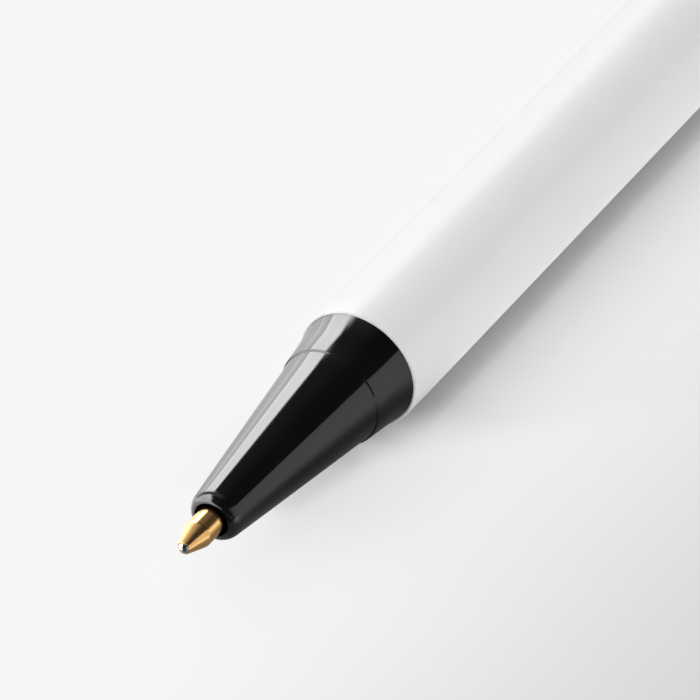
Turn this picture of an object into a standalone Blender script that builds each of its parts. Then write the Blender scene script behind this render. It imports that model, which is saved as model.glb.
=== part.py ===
"""Retractable ball pen lying on a table, tip towards -X, button towards +X.

Sizes are in millimetres and angles in degrees. Stations along the pen are measured from
the mouth of the nose cone towards the rear, with the tip out, as the pen rests. Each piece
is modelled along its local Z, which the axis empties lay along the world's X.
"""

import math

import bmesh
import bpy

MM = 0.001

# Shell
BARREL_RADIUS = 5.2
BARREL_WALL = 1.1
BARREL_LENGTH = 102.6
BARREL_EDGE_ROUND = 0.18
SEAM_GAP = 0.03
PRESS_GAP = 0.05

# Nose cone
NOSE_LENGTH = 17.6
NOSE_FRONT_RADIUS = 2.09
NOSE_REAR_RADIUS = 4.22
MOUTH_RADIUS = 1.47
MOUTH_LAND_LENGTH = 1.6
MOUTH_LIP_ROUND = 0.5
STEP_HEIGHT = 0.13
STEP_LENGTH = 0.2
COLLAR_LENGTH = 4.3
COLLAR_WAIST_LENGTH = 2.2
COLLAR_SLOPE = 0.125
COLLAR_REAR_RADIUS = 5.0
SPIGOT_LENGTH = 9.0
SPIGOT_BORE_RADIUS = 3.0
SNAP_BEAD_HEIGHT = 0.12
SNAP_BEAD_LENGTH = 1.0
SNAP_BEAD_SETBACK = 5.0
SPRING_SEAT_STATION = 7.5

# Refill
TIP_OUT = 4.29
BALL_RADIUS = 0.5
BALL_GAP = 0.02
LIP_AHEAD_OF_BALL = 0.17
LIP_WALL = 0.08
LIP_FLAT = 0.05
LIP_CHAMFER = 0.055
SHOULDER_BEHIND_BALL = 1.75
POINT_RADIUS = 1.18
SHOULDER_EASE_HEIGHT = 0.03
SHOULDER_EASE_FRONT = 0.08
SHOULDER_EASE_REAR = 0.1
POINT_BARE_LENGTH = 5.6
POINT_SHANK_RADIUS = 0.92
POINT_SHANK_LENGTH = 6.0
INK_CHANNEL_RADIUS = 0.35
HOLDER_RADIUS = 1.45
HOLDER_FLANGE_RADIUS = 2.05
HOLDER_FLANGE_LENGTH = 1.0
HOLDER_PLUG_LENGTH = 6.0
HOLDER_CHANNEL_RADIUS = 0.5
TUBE_RADIUS = 1.6
TUBE_WALL = 0.5
INK_LENGTH = 58.0
SLIP_GAP = 0.05
GUIDE_GAP = 0.2
CUP_GAP = 0.1

# Return spring, with the tip out
SPRING_LENGTH = 14.6
SPRING_WIRE_RADIUS = 0.19
SPRING_RADIUS = 1.84
SPRING_TURNS = 10
SPRING_POINTS_PER_TURN = 10
SPRING_SEAT_GAP = 0.1
SPRING_SIDE_GAP = 0.2

# Click mechanism
STROKE = 5.0
OVERTRAVEL = 1.6
INDEX_ANGLE = 60.0
FIN_COUNT = 3
FIN_ANGLE = 20.0
FIN_LENGTH = 4.0
CROWN_TEETH = 6
CROWN_DEPTH = 1.2
CROWN_BORE_DEPTH = 2.4
REST_GAP = 0.3
LATCH_LIP_HEIGHT = 0.2
LATCH_LIP_ANGLE = 1.5
LATCH_LIP_WALL_ANGLE = 0.25
LATCH_CLEARANCE_ANGLE = 0.5
FIRST_RAMP_HEIGHT = 1.35
WALL_ANGLE = 1.0
SIDE_CLEARANCE_ANGLE = 1.5
SLEEVE_BORE_RADIUS = 2.6
SLEEVE_ROOM_RADIUS = 3.3
SLEEVE_FRONT_MARGIN = 0.9
ROTOR_RADIUS = 2.4
FIN_RADIUS = 3.15
ROTOR_CUP_DEPTH = 3.0
ROTOR_CUP_WALL = 0.5
ROTOR_NOSE_LENGTH = 3.7
ROTOR_HUB_LENGTH = 2.3
CROWN_BORE_RADIUS = 1.2
SPLINE_COUNT = 3
SPLINE_WIDTH = 1.2
SPLINE_LENGTH = 3.0
SPLINE_RADIUS = 3.15
SPLINE_SETBACK = 0.1
SLOT_GAP = 0.12
SLOT_FRONT_WALL = 1.0

# Rear end
BUTTON_OUT = 4.5
BUTTON_RADIUS = 3.25
BUTTON_LENGTH = 14.9
BUTTON_END_ROUND = 0.7
BUTTON_EDGE_ROUND = 0.2
BUTTON_BORE_DEPTH = 9.0
STEM_RADIUS = 2.2
BUSH_BORE_RADIUS = 3.35
BUSH_THROAT_RADIUS = 2.45
BUSH_THROAT_LENGTH = 2.0
BUSH_COLLAR_LENGTH = 6.0
BUSH_COLLAR_FRONT_RADIUS = 5.1
BUSH_COLLAR_REAR_RADIUS = 4.45
BUSH_EDGE_ROUND = 0.5
BUSH_BORE_CHAMFER = 0.15
BUSH_SPIGOT_LENGTH = 8.2

# Clip
CLIP_RING_LENGTH = 2.5
CLIP_ARM_LENGTH = 38.0
CLIP_OUTER_HEIGHT = 8.1
CLIP_THICKNESS = 1.3
CLIP_ROOT_WIDTH = 4.6
CLIP_TIP_WIDTH = 3.4
CLIP_EDGE_ROUND = 0.35
CLIP_BUMP_GAP = 0.08
CLIP_BUMP_SETBACK = 5.0
CLIP_BUMP_HALF_LENGTH = 3.0
CLIP_TIP_LIFT = 0.7
CLIP_ROOT_ROUND = 1.6
CLIP_INNER_ROUND = 0.6
CLIP_ROOT_INSET = 0.1

# Facets and cutters
ROUND_STEPS = 64
INNER_STEPS = 40
SMALL_STEPS = 24
BALL_SEGMENTS = 24
BALL_RINGS = 16
EDGE_ARC_STEPS = 4
LIP_ARC_STEPS = 6
FLARE_STEPS = 5
TOOTH_STEPS = 4
FIN_STEPS = 4
RAMP_STEP_ANGLE = 8.0
CLIP_CURVE_STEPS = 12
CLIP_EDGE_SEGMENTS = 3
CLIP_EDGE_ANGLE = 50.0
SMOOTH_ANGLE = 35.0
MERGE_DISTANCE = 0.0001
CUT_MARGIN = 0.5
JOIN_OVERLAP = 0.5

# Colours
WHITE = (0.86, 0.86, 0.86)
BLACK = (0.012, 0.012, 0.013)
BRASS = (0.80, 0.55, 0.25)
BALL_GREY = (0.55, 0.55, 0.53)
HOLDER_WHITE = (0.75, 0.76, 0.74)
TUBE_CLEAR = (0.80, 0.82, 0.82)
INK_BLACK = (0.01, 0.01, 0.03)
STEEL_GREY = (0.60, 0.60, 0.60)
CAM_IVORY = (0.82, 0.81, 0.77)

# Derived sizes
BORE_RADIUS = BARREL_RADIUS - BARREL_WALL
PLUG_RADIUS = BORE_RADIUS - PRESS_GAP
TUBE_BORE_RADIUS = TUBE_RADIUS - TUBE_WALL
PRESSED_SLOPE = STROKE / INDEX_ANGLE
FIN_HALF = FIN_ANGLE / 2
PITCH_ANGLE = 360.0 / FIN_COUNT

# Derived stations, front to rear
BALL_CENTRE = BALL_RADIUS - TIP_OUT
POINT_SHOULDER = BALL_CENTRE + SHOULDER_BEHIND_BALL
HOLDER_FRONT = POINT_SHOULDER + POINT_BARE_LENGTH
STEP_STATION = NOSE_LENGTH
SEAM_STATION = NOSE_LENGTH + COLLAR_LENGTH
BARREL_FRONT = SEAM_STATION + SEAM_GAP
BARREL_REAR = BARREL_FRONT + BARREL_LENGTH
SPIGOT_REAR = SEAM_STATION + SPIGOT_LENGTH
SPRING_FRONT = SPRING_SEAT_STATION + SPRING_SEAT_GAP
FLANGE_FRONT = SPRING_FRONT + SPRING_LENGTH + SPRING_SEAT_GAP
FLANGE_REAR = FLANGE_FRONT + HOLDER_FLANGE_LENGTH
TUBE_FRONT = FLANGE_REAR + SLIP_GAP
PLUG_REAR = TUBE_FRONT + HOLDER_PLUG_LENGTH
RING_FRONT = BARREL_REAR + SEAM_GAP
RING_REAR = RING_FRONT + CLIP_RING_LENGTH
COLLAR_FRONT = RING_REAR + SEAM_GAP
BUSH_REAR = COLLAR_FRONT + BUSH_COLLAR_LENGTH
BUSH_FRONT = COLLAR_FRONT - BUSH_SPIGOT_LENGTH
THROAT_REAR = BUSH_FRONT + BUSH_THROAT_LENGTH
BUTTON_REAR = BUSH_REAR + BUTTON_OUT
BUTTON_FRONT = BUTTON_REAR - BUTTON_LENGTH
SLEEVE_REAR = BUSH_FRONT - SEAM_GAP
SPLINE_REAR = SLEEVE_REAR - STROKE - REST_GAP
SPLINE_FRONT = SPLINE_REAR - SPLINE_LENGTH
SLOT_FRONT = SPLINE_FRONT - OVERTRAVEL - REST_GAP
RAMP_BOTTOM = SLOT_FRONT - SLOT_FRONT_WALL
FIN_REAR = RAMP_BOTTOM - STROKE - REST_GAP
NOTCH_FLOOR = FIN_REAR + REST_GAP
FIN_FRONT = FIN_REAR - FIN_LENGTH
ROTOR_CROWN_TIP = FIN_REAR + ROTOR_HUB_LENGTH
PLUNGER_CROWN_TIP = ROTOR_CROWN_TIP + REST_GAP
ROTOR_FRONT = FIN_FRONT - ROTOR_NOSE_LENGTH
CUP_FLOOR = ROTOR_FRONT + ROTOR_CUP_DEPTH
TUBE_REAR = CUP_FLOOR - SLIP_GAP
SLEEVE_FRONT = FIN_FRONT - OVERTRAVEL - SLEEVE_FRONT_MARGIN
STEM_REAR = BUTTON_FRONT + BUTTON_BORE_DEPTH - SLIP_GAP


def clip_roll():
    """Angle between the clip and straight down at which its edge and the barrel both touch the table."""
    height = CLIP_OUTER_HEIGHT - CLIP_EDGE_ROUND
    half_width = CLIP_ROOT_WIDTH / 2 - CLIP_EDGE_ROUND
    reach = math.hypot(height, half_width)
    drop = BARREL_RADIUS - CLIP_EDGE_ROUND
    return math.degrees(math.atan2(half_width, height) + math.acos(drop / reach))


def clear_scene():
    for obj in list(bpy.data.objects):
        bpy.data.objects.remove(obj, do_unlink=True)


def new_collection(name, hidden=False):
    collection = bpy.data.collections.new(name)
    bpy.context.scene.collection.children.link(collection)
    collection.hide_render = hidden
    return collection


def new_material(name, colour, roughness, metallic=0.0):
    material = bpy.data.materials.new(name)
    material.use_nodes = True
    shader = material.node_tree.nodes["Principled BSDF"]
    shader.inputs["Base Color"].default_value = (*colour, 1.0)
    shader.inputs["Roughness"].default_value = roughness
    shader.inputs["Metallic"].default_value = metallic
    material.diffuse_color = (*colour, 1.0)
    return material


def new_empty(name, collection, parent=None, station=0.0, rotation=(0.0, 0.0, 0.0)):
    empty = bpy.data.objects.new(name, None)
    empty.empty_display_size = 5 * MM
    empty.location = (0.0, 0.0, station * MM)
    empty.rotation_euler = rotation
    empty.parent = parent
    collection.objects.link(empty)
    return empty


def new_object(name, mesh, collection, parent):
    obj = bpy.data.objects.new(name, mesh)
    obj.parent = parent
    collection.objects.link(obj)
    return obj


def arc(centre_r, centre_z, radius, start, end, steps):
    """Points (r, z) on an arc; angles are measured from +r towards +z."""
    points = []
    for i in range(steps + 1):
        angle = math.radians(start + (end - start) * i / steps)
        points.append((centre_r + radius * math.cos(angle), centre_z + radius * math.sin(angle)))
    return points


def turned(name, profile, collection, parent, origin=0.0, steps=ROUND_STEPS):
    """Closed (r, z) outline turned about local Z with a Screw modifier; origin is the parent's station."""
    area = sum(a[0] * b[1] - b[0] * a[1] for a, b in zip(profile, profile[1:] + profile[:1]))
    points = profile if area < 0 else profile[::-1]
    on_axis = max(points[0][0], points[-1][0]) < MERGE_DISTANCE
    mesh = bpy.data.meshes.new(name)
    vertices = [(r * MM, 0.0, (z - origin) * MM) for r, z in points]
    edges = [(i, i + 1) for i in range(len(points) - 1)]
    if not on_axis:
        edges.append((len(points) - 1, 0))
    mesh.from_pydata(vertices, edges, [])
    obj = new_object(name, mesh, collection, parent)
    screw = obj.modifiers.new("Turn", "SCREW")
    screw.steps = steps
    screw.render_steps = steps
    screw.use_merge_vertices = True
    screw.merge_threshold = MERGE_DISTANCE * MM
    return obj


def crown(name, inner, outer, angles, front, rear, collection, parent, origin=0.0, closed=True):
    """Solid between two radii whose front and rear ends follow functions of the angle."""
    rings = []
    mesh = bmesh.new()
    for angle in angles:
        direction = (math.cos(math.radians(angle)), math.sin(math.radians(angle)))
        corners = [(inner, front(angle)), (outer, front(angle)), (outer, rear(angle)), (inner, rear(angle))]
        ring = []
        for r, z in corners:
            ring.append(mesh.verts.new((r * direction[0] * MM, r * direction[1] * MM, (z - origin) * MM)))
        rings.append(ring)
    pairs = list(zip(rings, rings[1:]))
    if closed:
        pairs.append((rings[-1], rings[0]))
    else:
        mesh.faces.new(rings[0])
        mesh.faces.new(rings[-1][::-1])
    for here, there in pairs:
        for i in range(4):
            j = (i + 1) % 4
            mesh.faces.new((here[i], here[j], there[j], there[i]))
    bmesh.ops.recalc_face_normals(mesh, faces=mesh.faces)
    data = bpy.data.meshes.new(name)
    mesh.to_mesh(data)
    mesh.free()
    return new_object(name, data, collection, parent)


def box(name, size, centre, collection, parent, angle=0.0, origin=0.0):
    """Box turned by an angle about local Z; centre is (r, side, z)."""
    mesh = bmesh.new()
    bmesh.ops.create_cube(mesh, size=1.0)
    turn = math.radians(angle)
    for vertex in mesh.verts:
        x = (vertex.co.x * size[0] + centre[0]) * MM
        y = (vertex.co.y * size[1] + centre[1]) * MM
        z = (vertex.co.z * size[2] + centre[2] - origin) * MM
        vertex.co = (x * math.cos(turn) - y * math.sin(turn), x * math.sin(turn) + y * math.cos(turn), z)
    data = bpy.data.meshes.new(name)
    mesh.to_mesh(data)
    mesh.free()
    return new_object(name, data, collection, parent)


def combine(obj, tool, operation):
    modifier = obj.modifiers.new(operation.title(), "BOOLEAN")
    modifier.operation = operation
    modifier.object = tool
    modifier.solver = "EXACT"
    tool.hide_render = True
    tool.display_type = "WIRE"


def cut(obj, tool):
    combine(obj, tool, "DIFFERENCE")


def add(obj, tool):
    combine(obj, tool, "UNION")


def finish(obj, material):
    """Turns the modifiers into a mesh, shades it and gives it its material."""
    bpy.context.view_layer.update()
    depsgraph = bpy.context.evaluated_depsgraph_get()
    mesh = bpy.data.meshes.new_from_object(obj.evaluated_get(depsgraph))
    obj.modifiers.clear()
    obj.data = mesh
    mesh.name = obj.name
    mesh.materials.clear()
    mesh.materials.append(material)
    mesh.shade_smooth()
    mesh.set_sharp_from_angle(angle=math.radians(SMOOTH_ANGLE))
    return obj


def make_barrel(parts, axis, material):
    groove_front = SEAM_STATION + SNAP_BEAD_SETBACK - PRESS_GAP
    groove_rear = groove_front + SNAP_BEAD_LENGTH + 2 * PRESS_GAP
    groove_middle = (groove_front + groove_rear) / 2
    groove_radius = BORE_RADIUS + SNAP_BEAD_HEIGHT
    edge = BARREL_EDGE_ROUND
    outline = [(BORE_RADIUS, BARREL_FRONT)]
    outline += arc(BARREL_RADIUS - edge, BARREL_FRONT + edge, edge, -90, 0, EDGE_ARC_STEPS)
    outline += [(BARREL_RADIUS, BARREL_REAR), (BORE_RADIUS, BARREL_REAR)]
    outline += [(BORE_RADIUS, groove_rear), (groove_radius, groove_middle), (BORE_RADIUS, groove_front)]
    return finish(turned("barrel", outline, parts, axis), material)


def nose_outline():
    """Outer side of the nose cone, mouth to spigot."""
    slope = (NOSE_REAR_RADIUS - NOSE_FRONT_RADIUS) / NOSE_LENGTH
    lean = math.degrees(math.atan(slope))
    lip_z = MOUTH_LIP_ROUND
    lip_r = NOSE_FRONT_RADIUS + slope * lip_z - MOUTH_LIP_ROUND / math.cos(math.radians(lean))
    outline = arc(lip_r, lip_z, MOUTH_LIP_ROUND, -90, -lean, LIP_ARC_STEPS)
    outline += [(NOSE_REAR_RADIUS, STEP_STATION)]
    collar_radius = NOSE_REAR_RADIUS + STEP_HEIGHT
    outline += [(collar_radius, STEP_STATION + STEP_LENGTH)]
    waist = STEP_STATION + COLLAR_WAIST_LENGTH
    waist_radius = collar_radius + COLLAR_SLOPE * (COLLAR_WAIST_LENGTH - STEP_LENGTH)
    flare = SEAM_STATION - waist
    bend = (COLLAR_REAR_RADIUS - waist_radius - COLLAR_SLOPE * flare) / flare**2
    for i in range(FLARE_STEPS + 1):
        along = flare * i / FLARE_STEPS
        outline.append((waist_radius + COLLAR_SLOPE * along + bend * along**2, waist + along))
    return outline


def make_nose_cone(parts, axis, material):
    bead_front = SEAM_STATION + SNAP_BEAD_SETBACK
    bead_rear = bead_front + SNAP_BEAD_LENGTH
    outline = nose_outline()
    outline += [(PLUG_RADIUS, SEAM_STATION), (PLUG_RADIUS, bead_front)]
    outline += [(PLUG_RADIUS + SNAP_BEAD_HEIGHT, (bead_front + bead_rear) / 2), (PLUG_RADIUS, bead_rear)]
    outline += [(PLUG_RADIUS, SPIGOT_REAR), (SPIGOT_BORE_RADIUS, SPIGOT_REAR)]
    spring_room = SPRING_RADIUS + SPRING_WIRE_RADIUS + SPRING_SIDE_GAP
    outline += [(SPIGOT_BORE_RADIUS, SEAM_STATION), (spring_room, STEP_STATION)]
    outline += [(spring_room, SPRING_SEAT_STATION)]
    guide = HOLDER_RADIUS + GUIDE_GAP
    outline += [(guide, SPRING_SEAT_STATION), (guide, MOUTH_LAND_LENGTH + guide - MOUTH_RADIUS)]
    outline += [(MOUTH_RADIUS, MOUTH_LAND_LENGTH), (MOUTH_RADIUS, 0.0)]
    return finish(turned("nose_cone", outline, parts, axis), material)


def make_point(parts, refill, ball_axis, materials):
    seat = BALL_RADIUS + BALL_GAP
    lip_station = BALL_CENTRE - LIP_AHEAD_OF_BALL
    lip_bore = math.sqrt(seat**2 - LIP_AHEAD_OF_BALL**2)
    lip_angle = math.degrees(math.asin(LIP_AHEAD_OF_BALL / seat))
    seat_end = math.degrees(math.acos(INK_CHANNEL_RADIUS / seat))
    shank_rear = HOLDER_FRONT + POINT_SHANK_LENGTH
    outline = arc(0.0, BALL_CENTRE, seat, seat_end, -lip_angle, LIP_ARC_STEPS)
    outline += [(lip_bore + LIP_FLAT, lip_station), (lip_bore + LIP_WALL, lip_station + LIP_CHAMFER)]
    outline += [(POINT_RADIUS - SHOULDER_EASE_HEIGHT, POINT_SHOULDER - SHOULDER_EASE_FRONT)]
    outline += [(POINT_RADIUS, POINT_SHOULDER + SHOULDER_EASE_REAR)]
    outline += [(POINT_RADIUS, HOLDER_FRONT - SLIP_GAP), (POINT_SHANK_RADIUS, HOLDER_FRONT - SLIP_GAP)]
    outline += [(POINT_SHANK_RADIUS, shank_rear), (INK_CHANNEL_RADIUS, shank_rear)]
    socket = turned("point_socket", outline, parts, refill, steps=INNER_STEPS)
    mesh = bmesh.new()
    radius = BALL_RADIUS * MM
    bmesh.ops.create_uvsphere(mesh, u_segments=BALL_SEGMENTS, v_segments=BALL_RINGS, radius=radius)
    data = bpy.data.meshes.new("writing_ball")
    mesh.to_mesh(data)
    mesh.free()
    ball = new_object("writing_ball", data, parts, ball_axis)
    finish(socket, materials["brass"])
    finish(ball, materials["ball"])


def make_refill(parts, refill, materials):
    socket_bore = POINT_SHANK_RADIUS + SLIP_GAP
    socket_floor = HOLDER_FRONT + POINT_SHANK_LENGTH + SLIP_GAP
    plug_radius = TUBE_BORE_RADIUS - SLIP_GAP
    holder = [(socket_bore, HOLDER_FRONT), (HOLDER_RADIUS, HOLDER_FRONT), (HOLDER_RADIUS, FLANGE_FRONT)]
    holder += [(HOLDER_FLANGE_RADIUS, FLANGE_FRONT), (HOLDER_FLANGE_RADIUS, FLANGE_REAR)]
    holder += [(plug_radius, FLANGE_REAR), (plug_radius, PLUG_REAR), (HOLDER_CHANNEL_RADIUS, PLUG_REAR)]
    holder += [(HOLDER_CHANNEL_RADIUS, socket_floor), (socket_bore, socket_floor)]
    tube = [(TUBE_BORE_RADIUS, TUBE_FRONT), (TUBE_RADIUS, TUBE_FRONT)]
    tube += [(TUBE_RADIUS, TUBE_REAR), (TUBE_BORE_RADIUS, TUBE_REAR)]
    ink_front = PLUG_REAR + SLIP_GAP
    ink_radius = TUBE_BORE_RADIUS - SLIP_GAP
    ink_rear = ink_front + INK_LENGTH
    ink = [(0.0, ink_front), (ink_radius, ink_front), (ink_radius, ink_rear), (0.0, ink_rear)]
    finish(turned("tip_holder", holder, parts, refill, steps=SMALL_STEPS), materials["holder"])
    finish(turned("ink_tube", tube, parts, refill, steps=SMALL_STEPS), materials["tube"])
    finish(turned("ink_column", ink, parts, refill, steps=SMALL_STEPS), materials["ink"])


def spring_points():
    """Centre line of the return spring as (x, y, station)."""
    points = []
    count = SPRING_TURNS * SPRING_POINTS_PER_TURN
    front = SPRING_FRONT + SPRING_WIRE_RADIUS
    rise = SPRING_LENGTH - 2 * SPRING_WIRE_RADIUS
    for i in range(count + 1):
        turn = 2 * math.pi * i / SPRING_POINTS_PER_TURN
        x = SPRING_RADIUS * math.cos(turn)
        y = SPRING_RADIUS * math.sin(turn)
        points.append((x, y, front + rise * i / count))
    return points


def least_spring_gap(points):
    """Least gap between one turn's wire and the next, measured on the centre line's points."""
    gap = math.inf
    for i, here in enumerate(points):
        for there in points[i + SPRING_POINTS_PER_TURN // 2 :]:
            gap = min(gap, math.dist(here, there))
    return gap - 2 * SPRING_WIRE_RADIUS


def make_spring(parts, axis, material):
    points = spring_points()
    print(f"return_spring: least gap to itself {least_spring_gap(points):.2f} mm")
    curve = bpy.data.curves.new("return_spring", "CURVE")
    curve.dimensions = "3D"
    curve.bevel_depth = SPRING_WIRE_RADIUS * MM
    curve.bevel_resolution = 1
    curve.render_resolution_u = 0
    curve.use_fill_caps = True
    spline = curve.splines.new("POLY")
    spline.points.add(len(points) - 1)
    for point, (x, y, z) in zip(spline.points, points):
        point.co = (x * MM, y * MM, z * MM, 1.0)
    curve.materials.append(material)
    return new_object("return_spring", curve, parts, axis)


def fin_rear(angle):
    """Rear face of a fin centred on angle 0, sloping like the long ramp it slides down."""
    return FIN_REAR + PRESSED_SLOPE * (angle - FIN_HALF)


def sleeve_knots():
    """Corner points (angle, station) of the fixed crown over one pitch, from the latch notch on."""
    notch = FIN_HALF + LATCH_CLEARANCE_ANGLE
    lip_end = notch + LATCH_LIP_ANGLE
    wall = FIN_HALF + INDEX_ANGLE + SIDE_CLEARANCE_ANGLE
    tip = wall + WALL_ANGLE
    ramp_start = NOTCH_FLOOR + PRESSED_SLOPE * (lip_end - FIN_HALF)
    ramp_end = NOTCH_FLOOR + PRESSED_SLOPE * (wall - FIN_HALF)
    return [
        (notch, NOTCH_FLOOR),
        (notch + LATCH_LIP_WALL_ANGLE, NOTCH_FLOOR - LATCH_LIP_HEIGHT),
        (lip_end, NOTCH_FLOOR - LATCH_LIP_HEIGHT),
        (lip_end + LATCH_LIP_WALL_ANGLE, ramp_start + PRESSED_SLOPE * LATCH_LIP_WALL_ANGLE),
        (wall, ramp_end),
        (tip, NOTCH_FLOOR - FIRST_RAMP_HEIGHT),
        (notch + PITCH_ANGLE, NOTCH_FLOOR),
    ]


def along_knots(knots, angle):
    for (a0, z0), (a1, z1) in zip(knots, knots[1:]):
        if a0 <= angle <= a1:
            return z0 + (z1 - z0) * (angle - a0) / (a1 - a0)
    raise ValueError("angle outside the knots")


def sleeve_front(angle):
    knots = sleeve_knots()
    first = knots[0][0]
    return along_knots(knots, first + (angle - first) % PITCH_ANGLE)


def sleeve_angles():
    """Angles of the crown's corners, with steps between them on the ramps."""
    angles = []
    knots = sleeve_knots()
    for pitch in range(FIN_COUNT):
        for (a0, _), (a1, _) in zip(knots, knots[1:]):
            steps = max(1, round((a1 - a0) / RAMP_STEP_ANGLE))
            angles += [pitch * PITCH_ANGLE + a0 + (a1 - a0) * i / steps for i in range(steps)]
    return angles


def make_cam_sleeve(parts, tools, axis, material):
    outline = [(SLEEVE_BORE_RADIUS, SLEEVE_FRONT), (PLUG_RADIUS, SLEEVE_FRONT)]
    outline += [(PLUG_RADIUS, SLEEVE_REAR), (SLEEVE_BORE_RADIUS, SLEEVE_REAR)]
    sleeve = turned("cam_sleeve", outline, parts, axis, steps=INNER_STEPS)
    room = crown(
        "cut_rotor_room",
        SLEEVE_BORE_RADIUS - CUT_MARGIN,
        SLEEVE_ROOM_RADIUS,
        sleeve_angles(),
        lambda angle: SLEEVE_FRONT - CUT_MARGIN,
        sleeve_front,
        tools,
        axis,
    )
    cut(sleeve, room)
    depth = SPLINE_RADIUS + SLOT_GAP
    for i in range(SPLINE_COUNT):
        length = SLEEVE_REAR + CUT_MARGIN - SLOT_FRONT
        slot = box(
            f"cut_spline_slot_{i + 1}",
            (depth, SPLINE_WIDTH + 2 * SLOT_GAP, length),
            (depth / 2, 0.0, SLOT_FRONT + length / 2),
            tools,
            axis,
            angle=i * 360.0 / SPLINE_COUNT,
        )
        cut(sleeve, slot)
    return finish(sleeve, material)


def zigzag(angle, tip, depth, sign):
    """Crown edge that starts at a tip and goes the given way to its valleys."""
    phase = (angle % (360.0 / CROWN_TEETH)) / (360.0 / CROWN_TEETH)
    return tip + sign * depth * (1 - abs(2 * phase - 1))


def zigzag_angles():
    half = 180.0 / CROWN_TEETH
    return [half * i / TOOTH_STEPS for i in range(2 * CROWN_TEETH * TOOTH_STEPS)]


def make_cam_rotor(parts, tools, pivot, material):
    cup_bore = TUBE_RADIUS + CUP_GAP
    crown_floor = ROTOR_CROWN_TIP - CROWN_BORE_DEPTH
    outline = [(0.0, CUP_FLOOR), (cup_bore, CUP_FLOOR)]
    outline += [(cup_bore, ROTOR_FRONT), (cup_bore + ROTOR_CUP_WALL, ROTOR_FRONT)]
    outline += [(ROTOR_RADIUS, ROTOR_FRONT + ROTOR_CUP_WALL), (ROTOR_RADIUS, ROTOR_CROWN_TIP)]
    outline += [(CROWN_BORE_RADIUS, ROTOR_CROWN_TIP), (CROWN_BORE_RADIUS, crown_floor), (0.0, crown_floor)]
    rotor = turned("cam_rotor", outline, parts, pivot, ROTOR_FRONT, INNER_STEPS)
    teeth = crown(
        "cut_rotor_crown",
        CROWN_BORE_RADIUS - CUT_MARGIN,
        ROTOR_RADIUS + CUT_MARGIN,
        zigzag_angles(),
        lambda angle: zigzag(angle, ROTOR_CROWN_TIP, CROWN_DEPTH, -1),
        lambda angle: ROTOR_CROWN_TIP + CUT_MARGIN,
        tools,
        pivot,
        ROTOR_FRONT,
    )
    cut(rotor, teeth)
    for i in range(FIN_COUNT):
        middle = i * PITCH_ANGLE
        fin = crown(
            f"add_fin_{i + 1}",
            ROTOR_RADIUS - JOIN_OVERLAP,
            FIN_RADIUS,
            [middle - FIN_HALF + FIN_ANGLE * k / FIN_STEPS for k in range(FIN_STEPS + 1)],
            lambda angle: FIN_FRONT,
            lambda angle: fin_rear(angle - middle),
            tools,
            pivot,
            ROTOR_FRONT,
            closed=False,
        )
        add(rotor, fin)
    return finish(rotor, material)


def make_plunger(parts, tools, button, material):
    outline = [(CROWN_BORE_RADIUS, PLUNGER_CROWN_TIP), (ROTOR_RADIUS, PLUNGER_CROWN_TIP)]
    outline += [(ROTOR_RADIUS, SPLINE_REAR), (STEM_RADIUS, SPLINE_REAR)]
    outline += [(STEM_RADIUS, STEM_REAR), (CROWN_BORE_RADIUS, STEM_REAR)]
    plunger = turned("plunger", outline, parts, button, BUTTON_FRONT, INNER_STEPS)
    teeth = crown(
        "cut_plunger_crown",
        CROWN_BORE_RADIUS - CUT_MARGIN,
        ROTOR_RADIUS + CUT_MARGIN,
        zigzag_angles(),
        lambda angle: PLUNGER_CROWN_TIP - CUT_MARGIN,
        lambda angle: zigzag(angle, PLUNGER_CROWN_TIP, CROWN_DEPTH, 1),
        tools,
        button,
        BUTTON_FRONT,
    )
    cut(plunger, teeth)
    inner = ROTOR_RADIUS - JOIN_OVERLAP
    rear = SPLINE_REAR - SPLINE_SETBACK
    for i in range(SPLINE_COUNT):
        spline = box(
            f"add_spline_{i + 1}",
            (SPLINE_RADIUS - inner, SPLINE_WIDTH, rear - SPLINE_FRONT),
            ((SPLINE_RADIUS + inner) / 2, 0.0, (SPLINE_FRONT + rear) / 2),
            tools,
            button,
            angle=i * 360.0 / SPLINE_COUNT,
            origin=BUTTON_FRONT,
        )
        add(plunger, spline)
    return finish(plunger, material)


def make_push_button(parts, button, material):
    bore = STEM_RADIUS + SLIP_GAP
    bore_floor = BUTTON_FRONT + BUTTON_BORE_DEPTH
    end = BUTTON_END_ROUND
    outline = [(0.0, bore_floor), (bore, bore_floor), (bore, BUTTON_FRONT)]
    outline += [(BUTTON_RADIUS - BUTTON_EDGE_ROUND, BUTTON_FRONT)]
    outline += [(BUTTON_RADIUS, BUTTON_FRONT + BUTTON_EDGE_ROUND)]
    outline += arc(BUTTON_RADIUS - end, BUTTON_REAR - end, end, 0, 90, EDGE_ARC_STEPS)
    outline += [(0.0, BUTTON_REAR)]
    return finish(turned("push_button", outline, parts, button, BUTTON_FRONT), material)


def make_end_bush(parts, axis, material):
    edge = BUSH_EDGE_ROUND
    taper = BUSH_COLLAR_FRONT_RADIUS - BUSH_COLLAR_REAR_RADIUS
    lean = math.degrees(math.atan(taper / BUSH_COLLAR_LENGTH))
    outline = [(BUSH_THROAT_RADIUS, BUSH_FRONT), (PLUG_RADIUS, BUSH_FRONT), (PLUG_RADIUS, COLLAR_FRONT)]
    outline += [(BUSH_COLLAR_FRONT_RADIUS, COLLAR_FRONT)]
    outline += arc(BUSH_COLLAR_REAR_RADIUS - edge, BUSH_REAR - edge, edge, lean, 90, EDGE_ARC_STEPS)
    outline += [(BUSH_BORE_RADIUS + BUSH_BORE_CHAMFER, BUSH_REAR)]
    outline += [(BUSH_BORE_RADIUS, BUSH_REAR - BUSH_BORE_CHAMFER)]
    outline += [(BUSH_BORE_RADIUS, THROAT_REAR), (BUSH_THROAT_RADIUS, THROAT_REAR)]
    return finish(turned("end_bush", outline, parts, axis), material)


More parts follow.
